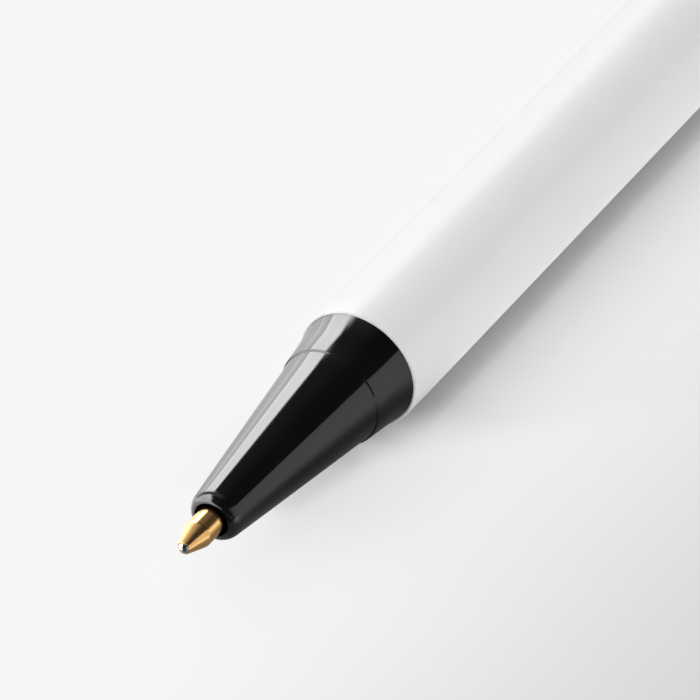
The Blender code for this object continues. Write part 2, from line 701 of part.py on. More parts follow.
def clip_side_outline():
    """Side view of the clip's arm as (height above the axis, station), rear to front along the top."""
    root_rear = RING_REAR - CLIP_ROOT_INSET
    root_front = RING_FRONT + CLIP_ROOT_INSET
    tip = root_front - CLIP_ARM_LENGTH
    bump = tip + CLIP_BUMP_SETBACK
    top = CLIP_OUTER_HEIGHT
    under = CLIP_OUTER_HEIGHT - CLIP_THICKNESS
    sunk = BORE_RADIUS + BARREL_WALL / 2
    touch = BARREL_RADIUS + CLIP_BUMP_GAP
    dip_start = bump + CLIP_BUMP_HALF_LENGTH
    dip = under - touch
    outer = CLIP_ROOT_ROUND
    inner = CLIP_INNER_ROUND
    outline = [(sunk, root_rear)]
    outline += arc(top - outer, root_rear - outer, outer, 90, 0, LIP_ARC_STEPS)
    upper = []
    lower = []
    for i in range(CLIP_CURVE_STEPS + 1):
        station = dip_start + (tip - dip_start) * i / CLIP_CURVE_STEPS
        fall = dip * fall_share(station, dip_start, bump, tip)
        upper.append((top - fall, station))
        lower.append((under - fall, station))
    outline += upper
    outline += lower[::-1]
    outline += arc(under - inner, root_front - inner, inner, 0, 90, EDGE_ARC_STEPS)
    outline += [(sunk, root_front)]
    return outline


def fall_share(station, start, bump, tip):
    """Share of the arm's fall towards the barrel: eases from 0 to 1 at the bump, then lifts at the tip."""
    if station >= bump:
        share = (start - station) / (start - bump)
        return (1 - math.cos(math.pi * share)) / 2
    share = (bump - station) / (bump - tip)
    return 1 - CLIP_TIP_LIFT * (1 - math.cos(math.pi * share)) / 2


def make_clip(parts, tools, clip_axis, material):
    ring_bore = PLUG_RADIUS + PRESS_GAP
    outline = [(ring_bore, RING_FRONT), (BARREL_RADIUS, RING_FRONT)]
    outline += [(BARREL_RADIUS, RING_REAR), (ring_bore, RING_REAR)]
    ring = turned("clip", outline, parts, clip_axis)
    curve = bpy.data.curves.new("clip_arm", "CURVE")
    curve.dimensions = "2D"
    curve.fill_mode = "BOTH"
    curve.extrude = CLIP_ROOT_WIDTH / 2 * MM
    spline = curve.splines.new("POLY")
    side = clip_side_outline()
    spline.points.add(len(side) - 1)
    for point, (height, station) in zip(spline.points, side):
        point.co = (height * MM, station * MM, 0.0, 1.0)
    spline.use_cyclic_u = True
    flat = new_object("clip_arm_outline", curve, tools, clip_axis)
    bpy.context.view_layer.update()
    mesh = bpy.data.meshes.new_from_object(flat.evaluated_get(bpy.context.evaluated_depsgraph_get()))
    bpy.data.objects.remove(flat)
    edit = bmesh.new()
    edit.from_mesh(mesh)
    bmesh.ops.remove_doubles(edit, verts=edit.verts, dist=MERGE_DISTANCE * MM)
    tip = (RING_FRONT - CLIP_ARM_LENGTH) * MM
    root = RING_FRONT * MM
    for vertex in edit.verts:
        height, station, side_way = vertex.co
        share = min(1.0, max(0.0, (root - station) / (root - tip)))
        width = 1 - share * (1 - CLIP_TIP_WIDTH / CLIP_ROOT_WIDTH)
        vertex.co = (height, -side_way * width, station)
    bmesh.ops.recalc_face_normals(edit, faces=edit.faces)
    edit.to_mesh(mesh)
    edit.free()
    arm = new_object("add_clip_arm", mesh, tools, clip_axis)
    bevel = arm.modifiers.new("Edges", "BEVEL")
    bevel.width = CLIP_EDGE_ROUND * MM
    bevel.segments = CLIP_EDGE_SEGMENTS
    bevel.limit_method = "ANGLE"
    bevel.angle_limit = math.radians(CLIP_EDGE_ANGLE)
    bevel.use_clamp_overlap = True
    add(ring, arm)
    return finish(ring, material)


def world_bounds(objects):
    low = [math.inf] * 3
    high = [-math.inf] * 3
    depsgraph = bpy.context.evaluated_depsgraph_get()
    for obj in objects:
        mesh = bpy.data.meshes.new_from_object(obj.evaluated_get(depsgraph))
        for vertex in mesh.vertices:
            point = obj.matrix_world @ vertex.co
            low = [min(a, b) for a, b in zip(low, point)]
            high = [max(a, b) for a, b in zip(high, point)]
        bpy.data.meshes.remove(mesh)
    return low, high


def set_origin(pen_axis, parts):
    """Moves the pen so that its box's bottom centre is the origin."""
    bpy.context.view_layer.update()
    low, high = world_bounds([obj for obj in parts.objects if obj.type != "EMPTY"])
    pen_axis.location.x -= (low[0] + high[0]) / 2
    pen_axis.location.y -= (low[1] + high[1]) / 2
    pen_axis.location.z -= low[2]
    bpy.context.view_layer.update()


def main():
    clear_scene()
    parts = new_collection("ball_pen")
    tools = new_collection("ball_pen_cutters", hidden=True)
    materials = {
        "white": new_material("white_plastic", WHITE, 0.4),
        "black": new_material("black_gloss_plastic", BLACK, 0.18),
        "brass": new_material("brass", BRASS, 0.22, metallic=1.0),
        "ball": new_material("ball_steel", BALL_GREY, 0.15, metallic=1.0),
        "holder": new_material("holder_plastic", HOLDER_WHITE, 0.45),
        "tube": new_material("tube_plastic", TUBE_CLEAR, 0.3),
        "ink": new_material("ink", INK_BLACK, 0.35),
        "steel": new_material("spring_steel", STEEL_GREY, 0.3, metallic=1.0),
        "cam": new_material("cam_plastic", CAM_IVORY, 0.45),
    }
    pen_axis = new_empty("pen_axis", parts, rotation=(0.0, math.radians(90), 0.0))
    pen_axis.location.z = BARREL_RADIUS * MM
    button = new_empty("button_carriage", parts, pen_axis, BUTTON_FRONT)
    refill = new_empty("refill_carriage", parts, pen_axis)
    pivot = new_empty("rotor_pivot", parts, refill, ROTOR_FRONT)
    ball_axis = new_empty("ball_pivot", parts, refill, BALL_CENTRE)
    clip_axis = new_empty("clip_axis", parts, pen_axis, rotation=(0.0, 0.0, math.radians(-clip_roll())))

    make_barrel(parts, pen_axis, materials["white"])
    make_nose_cone(parts, pen_axis, materials["black"])
    make_point(parts, refill, ball_axis, materials)
    make_refill(parts, refill, materials)
    make_spring(parts, pen_axis, materials["steel"])
    make_cam_sleeve(parts, tools, pen_axis, materials["cam"])
    make_cam_rotor(parts, tools, pivot, materials["cam"])
    make_plunger(parts, tools, button, materials["cam"])
    make_push_button(parts, button, materials["black"])
    make_end_bush(parts, pen_axis, materials["black"])
    make_clip(parts, tools, clip_axis, materials["black"])
    set_origin(pen_axis, parts)


main()
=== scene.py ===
"""Retractable ball pen lying on a pale table, seen close at its point.

Sizes of the pen are in millimetres and become metres when a mesh is made. Stations are measured
along the pen from the mouth of the nose cone towards the button. The camera and the table's zones
are in the frame's own metres, where the pen lies along x with its point towards -x.
"""

import math

import bmesh
import bpy
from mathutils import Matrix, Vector


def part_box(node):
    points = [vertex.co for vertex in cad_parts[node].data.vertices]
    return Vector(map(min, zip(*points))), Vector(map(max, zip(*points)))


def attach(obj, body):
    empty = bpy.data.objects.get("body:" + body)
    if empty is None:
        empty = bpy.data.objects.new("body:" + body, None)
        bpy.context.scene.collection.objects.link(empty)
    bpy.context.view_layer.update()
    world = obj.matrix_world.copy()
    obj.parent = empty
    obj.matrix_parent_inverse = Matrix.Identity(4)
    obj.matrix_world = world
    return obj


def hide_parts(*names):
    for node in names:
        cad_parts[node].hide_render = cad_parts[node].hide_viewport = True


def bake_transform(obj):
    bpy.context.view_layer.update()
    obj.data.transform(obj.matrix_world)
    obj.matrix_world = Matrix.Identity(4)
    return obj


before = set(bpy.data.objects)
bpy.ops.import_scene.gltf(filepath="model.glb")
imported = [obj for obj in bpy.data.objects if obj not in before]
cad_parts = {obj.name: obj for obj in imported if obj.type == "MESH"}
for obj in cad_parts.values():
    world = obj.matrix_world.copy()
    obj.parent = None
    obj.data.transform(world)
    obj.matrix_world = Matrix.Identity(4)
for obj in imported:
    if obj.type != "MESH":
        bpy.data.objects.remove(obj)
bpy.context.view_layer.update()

MM = 0.001

# Camera: a long lens at the height and heading of the photograph
CAMERA_PLACE = (-0.39961902, -0.20466347, 0.31248843)
CAMERA_HEADING = 30.238
CAMERA_ELEVATION = 36.654
CAMERA_LENS = 340.09
CAMERA_SENSOR = 36.0
CAMERA_NEAR = 0.01
CAMERA_FAR = 100.0

# Shell
BARREL_RADIUS = 5.2
BARREL_WALL = 1.1
BARREL_LENGTH = 102.6
BARREL_EDGE_ROUND = 0.18
SEAM_GAP = 0.03
PRESS_GAP = 0.05

# Nose cone
NOSE_LENGTH = 17.6
NOSE_FRONT_RADIUS = 2.09
NOSE_REAR_RADIUS = 4.22
MOUTH_RADIUS = 1.47
MOUTH_LAND_LENGTH = 1.6
MOUTH_EDGE_CUT = 0.02
LIP_LENGTH = 1.0
LIP_CONTROL = 0.15
GUIDE_RADIUS = 1.65
STEP_HEIGHT = 0.13
STEP_LENGTH = 0.07
STEP_ROUND = 0.05
COLLAR_LENGTH = 4.3
COLLAR_WAIST_LENGTH = 2.2
COLLAR_SLOPE = 0.125
COLLAR_REAR_RADIUS = 5.0
SPIGOT_LENGTH = 9.0
SPIGOT_BORE_RADIUS = 3.0

# Point
TIP_OUT = 4.29
BALL_RADIUS = 0.5
LIP_AHEAD_OF_BALL = 0.17
LIP_WALL = 0.045
LIP_ROUND = 0.015
BALL_GAP = 0.02
SHOULDER_BEHIND_BALL = 1.75
SHOULDER_ROUND = 0.12
POINT_RADIUS = 1.18
POINT_BARE_LENGTH = 5.6
POINT_SHANK_RADIUS = 0.92
POINT_SHANK_LENGTH = 6.0
INK_CHANNEL_RADIUS = 0.35
SLIP_GAP = 0.05

# Return spring, with the point out
SPRING_SEAT_STATION = 7.5
SPRING_SEAT_GAP = 0.1
SPRING_LENGTH = 14.6
SPRING_RADIUS = 1.84
SPRING_WIRE_RADIUS = 0.19
SPRING_SIDE_GAP = 0.2
SPRING_TURNS = 10

# Rear end
CLIP_RING_LENGTH = 2.5
CLIP_RING_EDGE_ROUND = 0.12
BUTTON_OUT = 4.5
BUTTON_RADIUS = 3.25
BUTTON_LENGTH = 14.9
BUTTON_END_ROUND = 0.7
BUTTON_EDGE_ROUND = 0.2
BUTTON_BORE_DEPTH = 9.0
STEM_RADIUS = 2.2
BUSH_BORE_RADIUS = 3.35
BUSH_BORE_ROUND = 0.15
BUSH_THROAT_RADIUS = 2.45
BUSH_THROAT_LENGTH = 2.0
BUSH_COLLAR_LENGTH = 6.0
BUSH_COLLAR_FRONT_RADIUS = 5.1
BUSH_COLLAR_REAR_RADIUS = 4.45
BUSH_FRONT_ROUND = 0.1
BUSH_EDGE_ROUND = 0.5
BUSH_SPIGOT_LENGTH = 8.2

# Clip
CLIP_ARM_LENGTH = 38.0
CLIP_OUTER_HEIGHT = 8.1
CLIP_THICKNESS = 1.3
CLIP_ROOT_WIDTH = 4.6
CLIP_TIP_WIDTH = 3.4
CLIP_EDGE_ROUND = 0.35
CLIP_BUMP_GAP = 0.08
CLIP_BUMP_SETBACK = 5.0
CLIP_BUMP_HALF_LENGTH = 3.0
CLIP_TIP_LIFT = 0.7
CLIP_ROOT_ROUND = 1.6
CLIP_INNER_ROUND = 0.6
CLIP_ROOT_INSET = 0.1
CLIP_TIP_CORNER = 1.5
CLIP_TIP_LEAST_HALF = 0.12
CLIP_TIP_LEAST_SHARE = 0.03
CLIP_TIP_THINNING = 6
CLIP_CORNER_SHARE = 0.98

# Facets: counts and lengths of faces, the angles from which an edge is sharp, and the radius
# below which a point is on the pen's axis
ROUND_STEPS = 256
POINT_STEPS = 128
ARC_STEPS = 8
FINE_ARC_STEPS = 16
LIP_STEPS = 24
FLARE_STEPS = 24
STEP_ROUND_STEPS = 4
BALL_STEPS = 48
SPRING_STEPS = 36
WIRE_SIDES = 12
CLIP_SECTION_STEPS = 5
CLIP_ROUND_STEPS = 14
CLIP_DIP_STEPS = 26
CLIP_STEP = 1.0
LONG_STEP = 2.0
SHARP_ANGLE = 32.0
CLIP_SHARP_ANGLE = 40.0
LEAST_RADIUS = 0.001

# Plastics: name, two colours, roughness from and to, strength of the skin, specular level
PLASTICS = {
    "white": (
        "white_barrel_plastic", (0.82, 0.82, 0.82), (0.835, 0.835, 0.833), (0.38, 0.42), 0.02, 0.5,
    ),
    "black": (
        "black_gloss_plastic", (0.0016, 0.0016, 0.0018), (0.0024, 0.0024, 0.0026),
        (0.07, 0.10), 0.02, 0.65,
    ),
    "holder": (
        "holder_plastic", (0.70, 0.71, 0.69), (0.77, 0.78, 0.76), (0.35, 0.5), 0.1, 0.5,
    ),
    "tube": ("tube_plastic", (0.70, 0.72, 0.72), (0.78, 0.80, 0.80), (0.2, 0.3), 0.05, 0.5),
    "ink": ("paste_ink", (0.008, 0.008, 0.02), (0.015, 0.015, 0.03), (0.3, 0.45), 0.1, 0.5),
    "cam": ("cam_plastic", (0.78, 0.77, 0.72), (0.84, 0.83, 0.79), (0.4, 0.55), 0.1, 0.5),
}

# Metals: name, two colours, roughness from and to, scale of the turned rings (0 for none)
METALS = {
    "brass": ("turned_brass", (0.84, 0.485, 0.18), (0.90, 0.535, 0.21), (0.15, 0.20), 1800.0),
    "ball": ("ball_metal", (0.42, 0.41, 0.38), (0.60, 0.59, 0.56), (0.07, 0.12), 0.0),
    "steel": ("spring_steel", (0.55, 0.55, 0.55), (0.63, 0.63, 0.62), (0.22, 0.34), 0.0),
}

# Textures: scales in features per metre, depths in metres
NOISE_LOW = 0.3
NOISE_HIGH = 0.7
NOISE_ROUGHNESS = 0.5
EVEN = (1.0, 1.0, 1.0)
PLASTIC_DRIFT_SCALE = 210.0
PLASTIC_DRIFT_DETAIL = 3.0
PLASTIC_GLOSS_SCALE = 700.0
PLASTIC_GLOSS_DETAIL = 4.0
PLASTIC_GLOSS_STRETCH = (0.4, 1.0, 1.0)
SKIN_SCALE = 2100.0
SKIN_DETAIL = 2.0
SKIN_DEPTH = 0.00002
METAL_DRIFT_SCALE = 900.0
METAL_DRIFT_DETAIL = 4.0
METAL_GLOSS_SCALE = 1400.0
METAL_GLOSS_DETAIL = 3.0
METAL_GLOSS_STRETCH = (3.0, 1.0, 1.0)
RING_DISTORTION = 0.6
RING_DETAIL = 2.0
RING_STRENGTH = 0.02
RING_DEPTH = 0.000004

# In every pair of places below, a share is 0 at the first place and 1 at the second

# World: TURN and turns are the ray's turn about the pen in degrees from +Y, the far side, and
# PLACE is the x of the ray's direction, which is 1 straight along the pen towards its button
BACKDROP_LEVEL = 0.93
LEAST_REACH = 0.0001
NEW_STOP = 0.5
SOFT_LEVELS = (
    (0, 0.0), (12, 0.0), (25, 1.45), (38, 2.65), (50, 2.74), (60, 1.9), (70, 0.49), (80, 1.47),
    (90, 1.79), (100, 1.01), (110, 0.04), (140, 0.0), (150, 0.31), (160, 2.04), (170, 4.63),
    (180, 1.34),
)
SOFT_PEAK = 4.63

# Dark room that glossy surfaces see: paler overhead and behind, most so for the brass cone
ROOM_DARK = 0.05
ROOM_TOP = 0.08
ROOM_TOP_TURN = (122, 66)
FRONT_LEVEL = 0.66
FRONT_TURN = (115, 60)
FRONT_PLACE_FROM = (-0.2, -0.05)
FRONT_PLACE_TO = (0.5, 0.12)

# Light box behind the pen: its level goes by PLACE, and its top edge bends down ahead of the
# point. Its edges are given as degrees above and below BOX_TOP
BOX_LEVELS = (
    (-1.0, 7.0), (-0.8, 9.0), (-0.09, 9.0), (0.01, 0.0), (0.23, 0.0), (0.36, 10.4), (1.0, 10.4),
)
BOX_PEAK = 10.4
BOX_TOP = 53.5
BOX_BOTTOM = 20.4
BOX_TOP_SHARE = 1.12
BOX_LOW_SHARE = 0.82
BOX_BEND_PLACE = -0.5
BOX_BEND = -2.15
BOX_CRISP_EDGE = (3.5, 2.5)
BOX_FADED_EDGE = (12, 7)
BOX_FADED_PLACE = (0.5, 0.36)

# Glow under the light box, with a level for each surface that mirrors it
GLOW_EDGE = 0.7
GLOW_CONE_LEVEL = 4.0
GLOW_BRASS_LEVEL = 1.1
GLOW_LIP_LEVEL = 7.0
GLOW_CONE_PLACE = (0.2, 0.4)
GLOW_LIP_PLACE = (0.0, -0.2)

# Card low on the near side; its top edge is at CARD_TURN at CARD_PLACE
CARD_LEVEL = 1.0
CARD_TURN = 147.2
CARD_PLACE = 0.1
CARD_SLOPE = 0.1025
CARD_EDGE = 0.006
CARD_FADE_PLACE = (-0.75, 0.1)

# Levels that the barrel and the brass shank mirror, further along the pen
AHEAD_LEVELS = (
    (0, 0.0), (15, 0.3), (30, 2.2), (42, 4.2), (54, 4.3), (57, 0.3), (95, 0.3), (110, 0.1),
    (150, 0.1), (160, 0.5), (170, 2.0), (180, 3.0),
)
AHEAD_PEAK = 4.3
AHEAD_PLACE = (0.625, 0.68)

# Table: its colour goes from pale to grey and back along TABLE_ACROSS, to the near side; the grey
# band is painted shade
TABLE_HALF = 12.0
TABLE_CELLS = 8
TABLE_PALE = 0.975
TABLE_SHADE_GREY = 0.674
TABLE_ROUGHNESS = 0.9
TABLE_ACROSS = (-0.0168, -0.9999, 0.0)
SHADE_BAND_FROM = (-0.0012, 0.0516)
SHADE_BAND_TO = (0.22, 0.06)

# Table as glossy surfaces see it, a painted reflection: it glows at levels by y, low near the pen
# as painted shadow, changed in zones ahead of the tip, beside the barrel and beyond it. A SLANT is
# the share of y that is added to x before a zone's X is read
GLOSS_LEVELS = (
    (-0.06, 0.8), (-0.04, 0.8), (-0.019, 0.62), (-0.0115, 0.28), (-0.0076, 0.14),
    (0.0, 0.12), (0.004, 0.3), (0.01, 0.8), (0.02, 1.2), (0.06, 2.2),
)
GLOSS_PEAK = 2.4
GLOSS_TIP_X = (-0.052, -0.066)
GLOSS_TIP_LIFT = 1.0
GLOSS_AHEAD_X = (-0.074, -0.080)
GLOSS_AHEAD_Y = (0.0, 0.005)
GLOSS_AHEAD_NEAR = 0.15
GLOSS_AHEAD_FAR = 1.1
GLOSS_BARREL_SLANT = 0.8
GLOSS_BARREL_X = (-0.044, -0.037)
GLOSS_BARREL_Y = (0.003, -0.001)
GLOSS_BARREL_LEVEL = 1.0
GLOSS_BEYOND_SLANT = -0.88
GLOSS_BEYOND_X = (-0.0495, -0.0470)
GLOSS_BEYOND_Y = (0.003, 0.006)
GLOSS_BEYOND_LEVEL = 0.45

# Painted light: share of a glow in the table's own colour that the camera sees instead of its lit
# surface. It fills the table's shade by the nose cone and the tip, on the near side away from the
# pen, and behind it
FILL_GLOW_LEVEL = 0.955
FILL_NOSE_SHARE = 0.75
PAINTED_NOSE_ZONE = (-0.0415, -0.0515)
FILL_TIP_SHARE = 0.12
FILL_TIP_X = (-0.054, -0.064)
FILL_NEAR_SHARE = 0.45
FILL_NEAR_Y = (-0.003, -0.0085)
FILL_FAR_SHARE = 0.85
FILL_FAR_Y = (0.003, 0.011)

# Shade under the nose cone's front half, where less painted light fills the rendered shade: its
# SLANT is the share of x that is added to y.
# Painted contact shade along the rest of the pen, darkened into the table's colour
SHADE_SHARE = 0.33
SHADE_SLANT = 0.23
SHADE_PLACE = (-0.014, -0.0112)
SHADE_X_FROM = (-0.0590, -0.0560)
SHADE_X_TO = (-0.0465, -0.0495)
CONTACT_SHARE = 0.5
CONTACT_REACH = 0.0022
CONTACT_SAMPLES = 8

# Derived stations
BORE_RADIUS = BARREL_RADIUS - BARREL_WALL
PLUG_RADIUS = BORE_RADIUS - PRESS_GAP
BALL_CENTRE = BALL_RADIUS - TIP_OUT
POINT_SHOULDER = BALL_CENTRE + SHOULDER_BEHIND_BALL
HOLDER_FRONT = POINT_SHOULDER + POINT_BARE_LENGTH
STEP_STATION = NOSE_LENGTH
SEAM_STATION = NOSE_LENGTH + COLLAR_LENGTH
SPIGOT_REAR = SEAM_STATION + SPIGOT_LENGTH
SPRING_FRONT = SPRING_SEAT_STATION + SPRING_SEAT_GAP
SPRING_ROOM_RADIUS = SPRING_RADIUS + SPRING_WIRE_RADIUS + SPRING_SIDE_GAP
BARREL_FRONT = SEAM_STATION + SEAM_GAP
BARREL_REAR = BARREL_FRONT + BARREL_LENGTH
RING_FRONT = BARREL_REAR + SEAM_GAP
RING_REAR = RING_FRONT + CLIP_RING_LENGTH
COLLAR_FRONT = RING_REAR + SEAM_GAP
BUSH_REAR = COLLAR_FRONT + BUSH_COLLAR_LENGTH
BUSH_FRONT = COLLAR_FRONT - BUSH_SPIGOT_LENGTH
THROAT_REAR = BUSH_FRONT + BUSH_THROAT_LENGTH
BUTTON_REAR = BUSH_REAR + BUTTON_OUT
BUTTON_FRONT = BUTTON_REAR - BUTTON_LENGTH

BARREL_LOW, BARREL_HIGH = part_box("barrel")
AXIS_Y = (BARREL_LOW[1] + BARREL_HIGH[1]) / 2
AXIS_Z = (BARREL_LOW[2] + BARREL_HIGH[2]) / 2
MOUTH_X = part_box("nose_cone")[0][0]


# Geometry


def place(height, side, station, roll=0.0):
    """World point from a height above the pen's axis, a sideways distance and a station."""
    turn = math.radians(roll)
    y = height * math.sin(turn) + side * math.cos(turn)
    z = height * math.cos(turn) - side * math.sin(turn)
    return Vector((MOUTH_X + station * MM, AXIS_Y + y * MM, AXIS_Z + z * MM))


def new_object(name, data):
    obj = bpy.data.objects.new(name, data)
    bpy.context.scene.collection.objects.link(obj)
    return obj


def finished(name, edit, angle=SHARP_ANGLE):
    """Object from an edited mesh: faces outwards, and smooth except at sharp edges."""
    bmesh.ops.recalc_face_normals(edit, faces=edit.faces)
    mesh = bpy.data.meshes.new(name)
    edit.to_mesh(mesh)
    edit.free()
    mesh.shade_smooth()
    mesh.set_sharp_from_angle(angle=math.radians(angle))
    return new_object(name, mesh)


def arc(centre_r, centre_z, radius, start, end, steps=ARC_STEPS):
    """Points (r, z) on an arc; angles are measured from +r towards +z."""
    points = []
    for i in range(steps + 1):
        angle = math.radians(start + (end - start) * i / steps)
        r = centre_r + radius * math.cos(angle)
        points.append((r, centre_z + radius * math.sin(angle)))
    return points


def stretch(start, end, longest=LONG_STEP):
    """Points between two outline points, so that a long side has short faces."""
    count = max(1, math.ceil(abs(end[1] - start[1]) / longest))
    points = []
    for i in range(1, count):
        share = i / count
        r = start[0] + (end[0] - start[0]) * share
        points.append((r, start[1] + (end[1] - start[1]) * share))
    return points


def bent(start, control, end, steps):
    """Points on the smooth curve from start to end that control pulls towards itself."""
    first, pull, last = Vector(start), Vector(control), Vector(end)
    points = []
    for i in range(steps + 1):
        t = i / steps
        point = first * (1 - t) ** 2 + pull * 2 * t * (1 - t) + last * t**2
        points.append((point.x, point.y))
    return points


def filleted(points, radius, steps=ARC_STEPS):
    """Open run of (r, z) points whose inner corners are rounded by short curves."""
    out = [points[0]]
    for before, corner, after in zip(points, points[1:], points[2:]):
        a = Vector(before) - Vector(corner)
        b = Vector(after) - Vector(corner)
        reach = min(radius, a.length / 2, b.length / 2)
        start = Vector(corner) + a.normalized() * reach
        end = Vector(corner) + b.normalized() * reach
        out += bent(start, corner, end, steps)
    out.append(points[-1])
    return out


def turned(name, outline, steps=ROUND_STEPS, closed=True):
    """Outline of (r, z) points turned about the pen's axis."""
    edit = bmesh.new()
    rings = []
    for r, z in outline:
        if r < LEAST_RADIUS:
            rings.append([edit.verts.new(place(0.0, 0.0, z))])
            continue
        ring = []
        for i in range(steps):
            angle = 2 * math.pi * i / steps
            ring.append(edit.verts.new(place(r * math.cos(angle), r * math.sin(angle), z)))
        rings.append(ring)
    pairs = list(zip(rings, rings[1:]))
    if closed:
        pairs.append((rings[-1], rings[0]))
    for here, there in pairs:
        for i in range(steps):
            j = (i + 1) % steps
            if len(here) == 1:
                edit.faces.new((here[0], there[j], there[i]))
            elif len(there) == 1:
                edit.faces.new((here[i], here[j], there[0]))
            else:
                edit.faces.new((here[i], here[j], there[j], there[i]))
    return finished(name, edit)


def skinned(name, rings, angle=SHARP_ANGLE):
    """Closed body through rings of points, capped at both ends."""
    edit = bmesh.new()
    rings = [[edit.verts.new(point) for point in ring] for ring in rings]
    for here, there in zip(rings, rings[1:]):
        for i in range(len(here)):
            j = (i + 1) % len(here)
            edit.faces.new((here[i], here[j], there[j], there[i]))
    edit.faces.new(rings[0][::-1])
    edit.faces.new(rings[-1])
    return finished(name, edit, angle)


def make_barrel():
    edge = BARREL_EDGE_ROUND
    outline = [(BORE_RADIUS, BARREL_FRONT)]
    outline += arc(BARREL_RADIUS - edge, BARREL_FRONT + edge, edge, -90, 0)
    outline += stretch((BARREL_RADIUS, BARREL_FRONT + edge), (BARREL_RADIUS, BARREL_REAR - edge))
    outline += arc(BARREL_RADIUS - edge, BARREL_REAR - edge, edge, 0, 90)
    outline += [(BORE_RADIUS, BARREL_REAR)]
    return turned("barrel_tube", outline)


def nose_side():
    """Outer side of the nose cone from its mouth to the seam."""
    slope = (NOSE_REAR_RADIUS - NOSE_FRONT_RADIUS) / NOSE_LENGTH
    mouth = (MOUTH_RADIUS + MOUTH_EDGE_CUT, 0.0)
    control = (NOSE_FRONT_RADIUS + slope * LIP_CONTROL, LIP_CONTROL)
    outline = bent(mouth, control, (NOSE_FRONT_RADIUS + slope * LIP_LENGTH, LIP_LENGTH), LIP_STEPS)
    collar_radius = NOSE_REAR_RADIUS + STEP_HEIGHT
    waist = STEP_STATION + COLLAR_WAIST_LENGTH
    waist_radius = collar_radius + COLLAR_SLOPE * (COLLAR_WAIST_LENGTH - STEP_LENGTH)
    step = [outline[-1], (NOSE_REAR_RADIUS, STEP_STATION)]
    step += [(collar_radius, STEP_STATION + STEP_LENGTH), (waist_radius, waist)]
    outline += stretch(step[0], step[1])
    outline += filleted(step, STEP_ROUND, STEP_ROUND_STEPS)[1:]
    flare = SEAM_STATION - waist
    bend = (COLLAR_REAR_RADIUS - waist_radius - COLLAR_SLOPE * flare) / flare**2
    for i in range(1, FLARE_STEPS + 1):
        along = flare * i / FLARE_STEPS
        outline.append((waist_radius + COLLAR_SLOPE * along + bend * along**2, waist + along))
    return outline


def make_nose_cone():
    outline = nose_side()
    outline += [(PLUG_RADIUS, SEAM_STATION), (PLUG_RADIUS, SPIGOT_REAR)]
    outline += [(SPIGOT_BORE_RADIUS, SPIGOT_REAR), (SPIGOT_BORE_RADIUS, SEAM_STATION)]
    outline += [(SPRING_ROOM_RADIUS, STEP_STATION), (SPRING_ROOM_RADIUS, SPRING_SEAT_STATION)]
    outline += [(GUIDE_RADIUS, SPRING_SEAT_STATION)]
    outline += [(GUIDE_RADIUS, MOUTH_LAND_LENGTH + GUIDE_RADIUS - MOUTH_RADIUS)]
    outline += [(MOUTH_RADIUS, MOUTH_LAND_LENGTH), (MOUTH_RADIUS, MOUTH_EDGE_CUT)]
    return turned("nose_cone_shell", outline)


def make_point():
    seat = BALL_RADIUS + BALL_GAP
    lip_station = BALL_CENTRE - LIP_AHEAD_OF_BALL
    lip_bore = math.sqrt(seat**2 - LIP_AHEAD_OF_BALL**2)
    lip_angle = math.degrees(math.asin(LIP_AHEAD_OF_BALL / seat))
    seat_end = math.degrees(math.acos(INK_CHANNEL_RADIUS / seat))
    shank_rear = HOLDER_FRONT + POINT_SHANK_LENGTH
    shank_front = HOLDER_FRONT - SLIP_GAP
    outline = arc(0.0, BALL_CENTRE, seat, seat_end, -lip_angle, FINE_ARC_STEPS)
    side = [outline[-1], (lip_bore + LIP_WALL, lip_station), (POINT_RADIUS, POINT_SHOULDER)]
    side += [(POINT_RADIUS, shank_front)]
    lip = filleted(side[:3], LIP_ROUND)
    shoulder = filleted(side[1:], SHOULDER_ROUND)
    outline += lip[1:-1] + shoulder[1:]
    outline += [(POINT_SHANK_RADIUS, shank_front), (POINT_SHANK_RADIUS, shank_rear)]
    outline += [(INK_CHANNEL_RADIUS, shank_rear)]
    return turned("point_socket_body", outline, POINT_STEPS)


def make_ball():
    outline = arc(0.0, BALL_CENTRE, BALL_RADIUS, -90, 90, BALL_STEPS)
    return turned("writing_ball_fine", outline, POINT_STEPS, closed=False)


def make_spring():
    """Return spring as it lies with the point out; its front end sits in the nose cone."""
    rise = SPRING_LENGTH - 2 * SPRING_WIRE_RADIUS
    lean = math.atan2(rise, 2 * math.pi * SPRING_RADIUS * SPRING_TURNS)
    count = SPRING_TURNS * SPRING_STEPS
    rings = []
    for i in range(count + 1):
        turn = 2 * math.pi * i / SPRING_STEPS
        station = SPRING_FRONT + SPRING_WIRE_RADIUS + rise * i / count
        ring = []
        for outwards, along in arc(0.0, 0.0, SPRING_WIRE_RADIUS, 0, 360, WIRE_SIDES)[:-1]:
            radius = SPRING_RADIUS + outwards
            slip = -along * math.sin(lean)
            height = radius * math.cos(turn) - slip * math.sin(turn)
            side = radius * math.sin(turn) + slip * math.cos(turn)
            ring.append(place(height, side, station + along * math.cos(lean)))
        rings.append(ring)
    return skinned("return_spring_coil", rings)


def make_push_button():
    bore = STEM_RADIUS + SLIP_GAP
    edge = BUTTON_EDGE_ROUND
    end = BUTTON_END_ROUND
    floor = BUTTON_FRONT + BUTTON_BORE_DEPTH
    outline = [(0.0, floor), (bore, floor), (bore, BUTTON_FRONT)]
    outline += arc(BUTTON_RADIUS - edge, BUTTON_FRONT + edge, edge, -90, 0)
    outline += stretch((BUTTON_RADIUS, BUTTON_FRONT), (BUTTON_RADIUS, BUTTON_REAR - end))
    outline += arc(BUTTON_RADIUS - end, BUTTON_REAR - end, end, 0, 90, FINE_ARC_STEPS)
    outline += [(0.0, BUTTON_REAR)]
    return turned("push_button_cap", outline, closed=False)


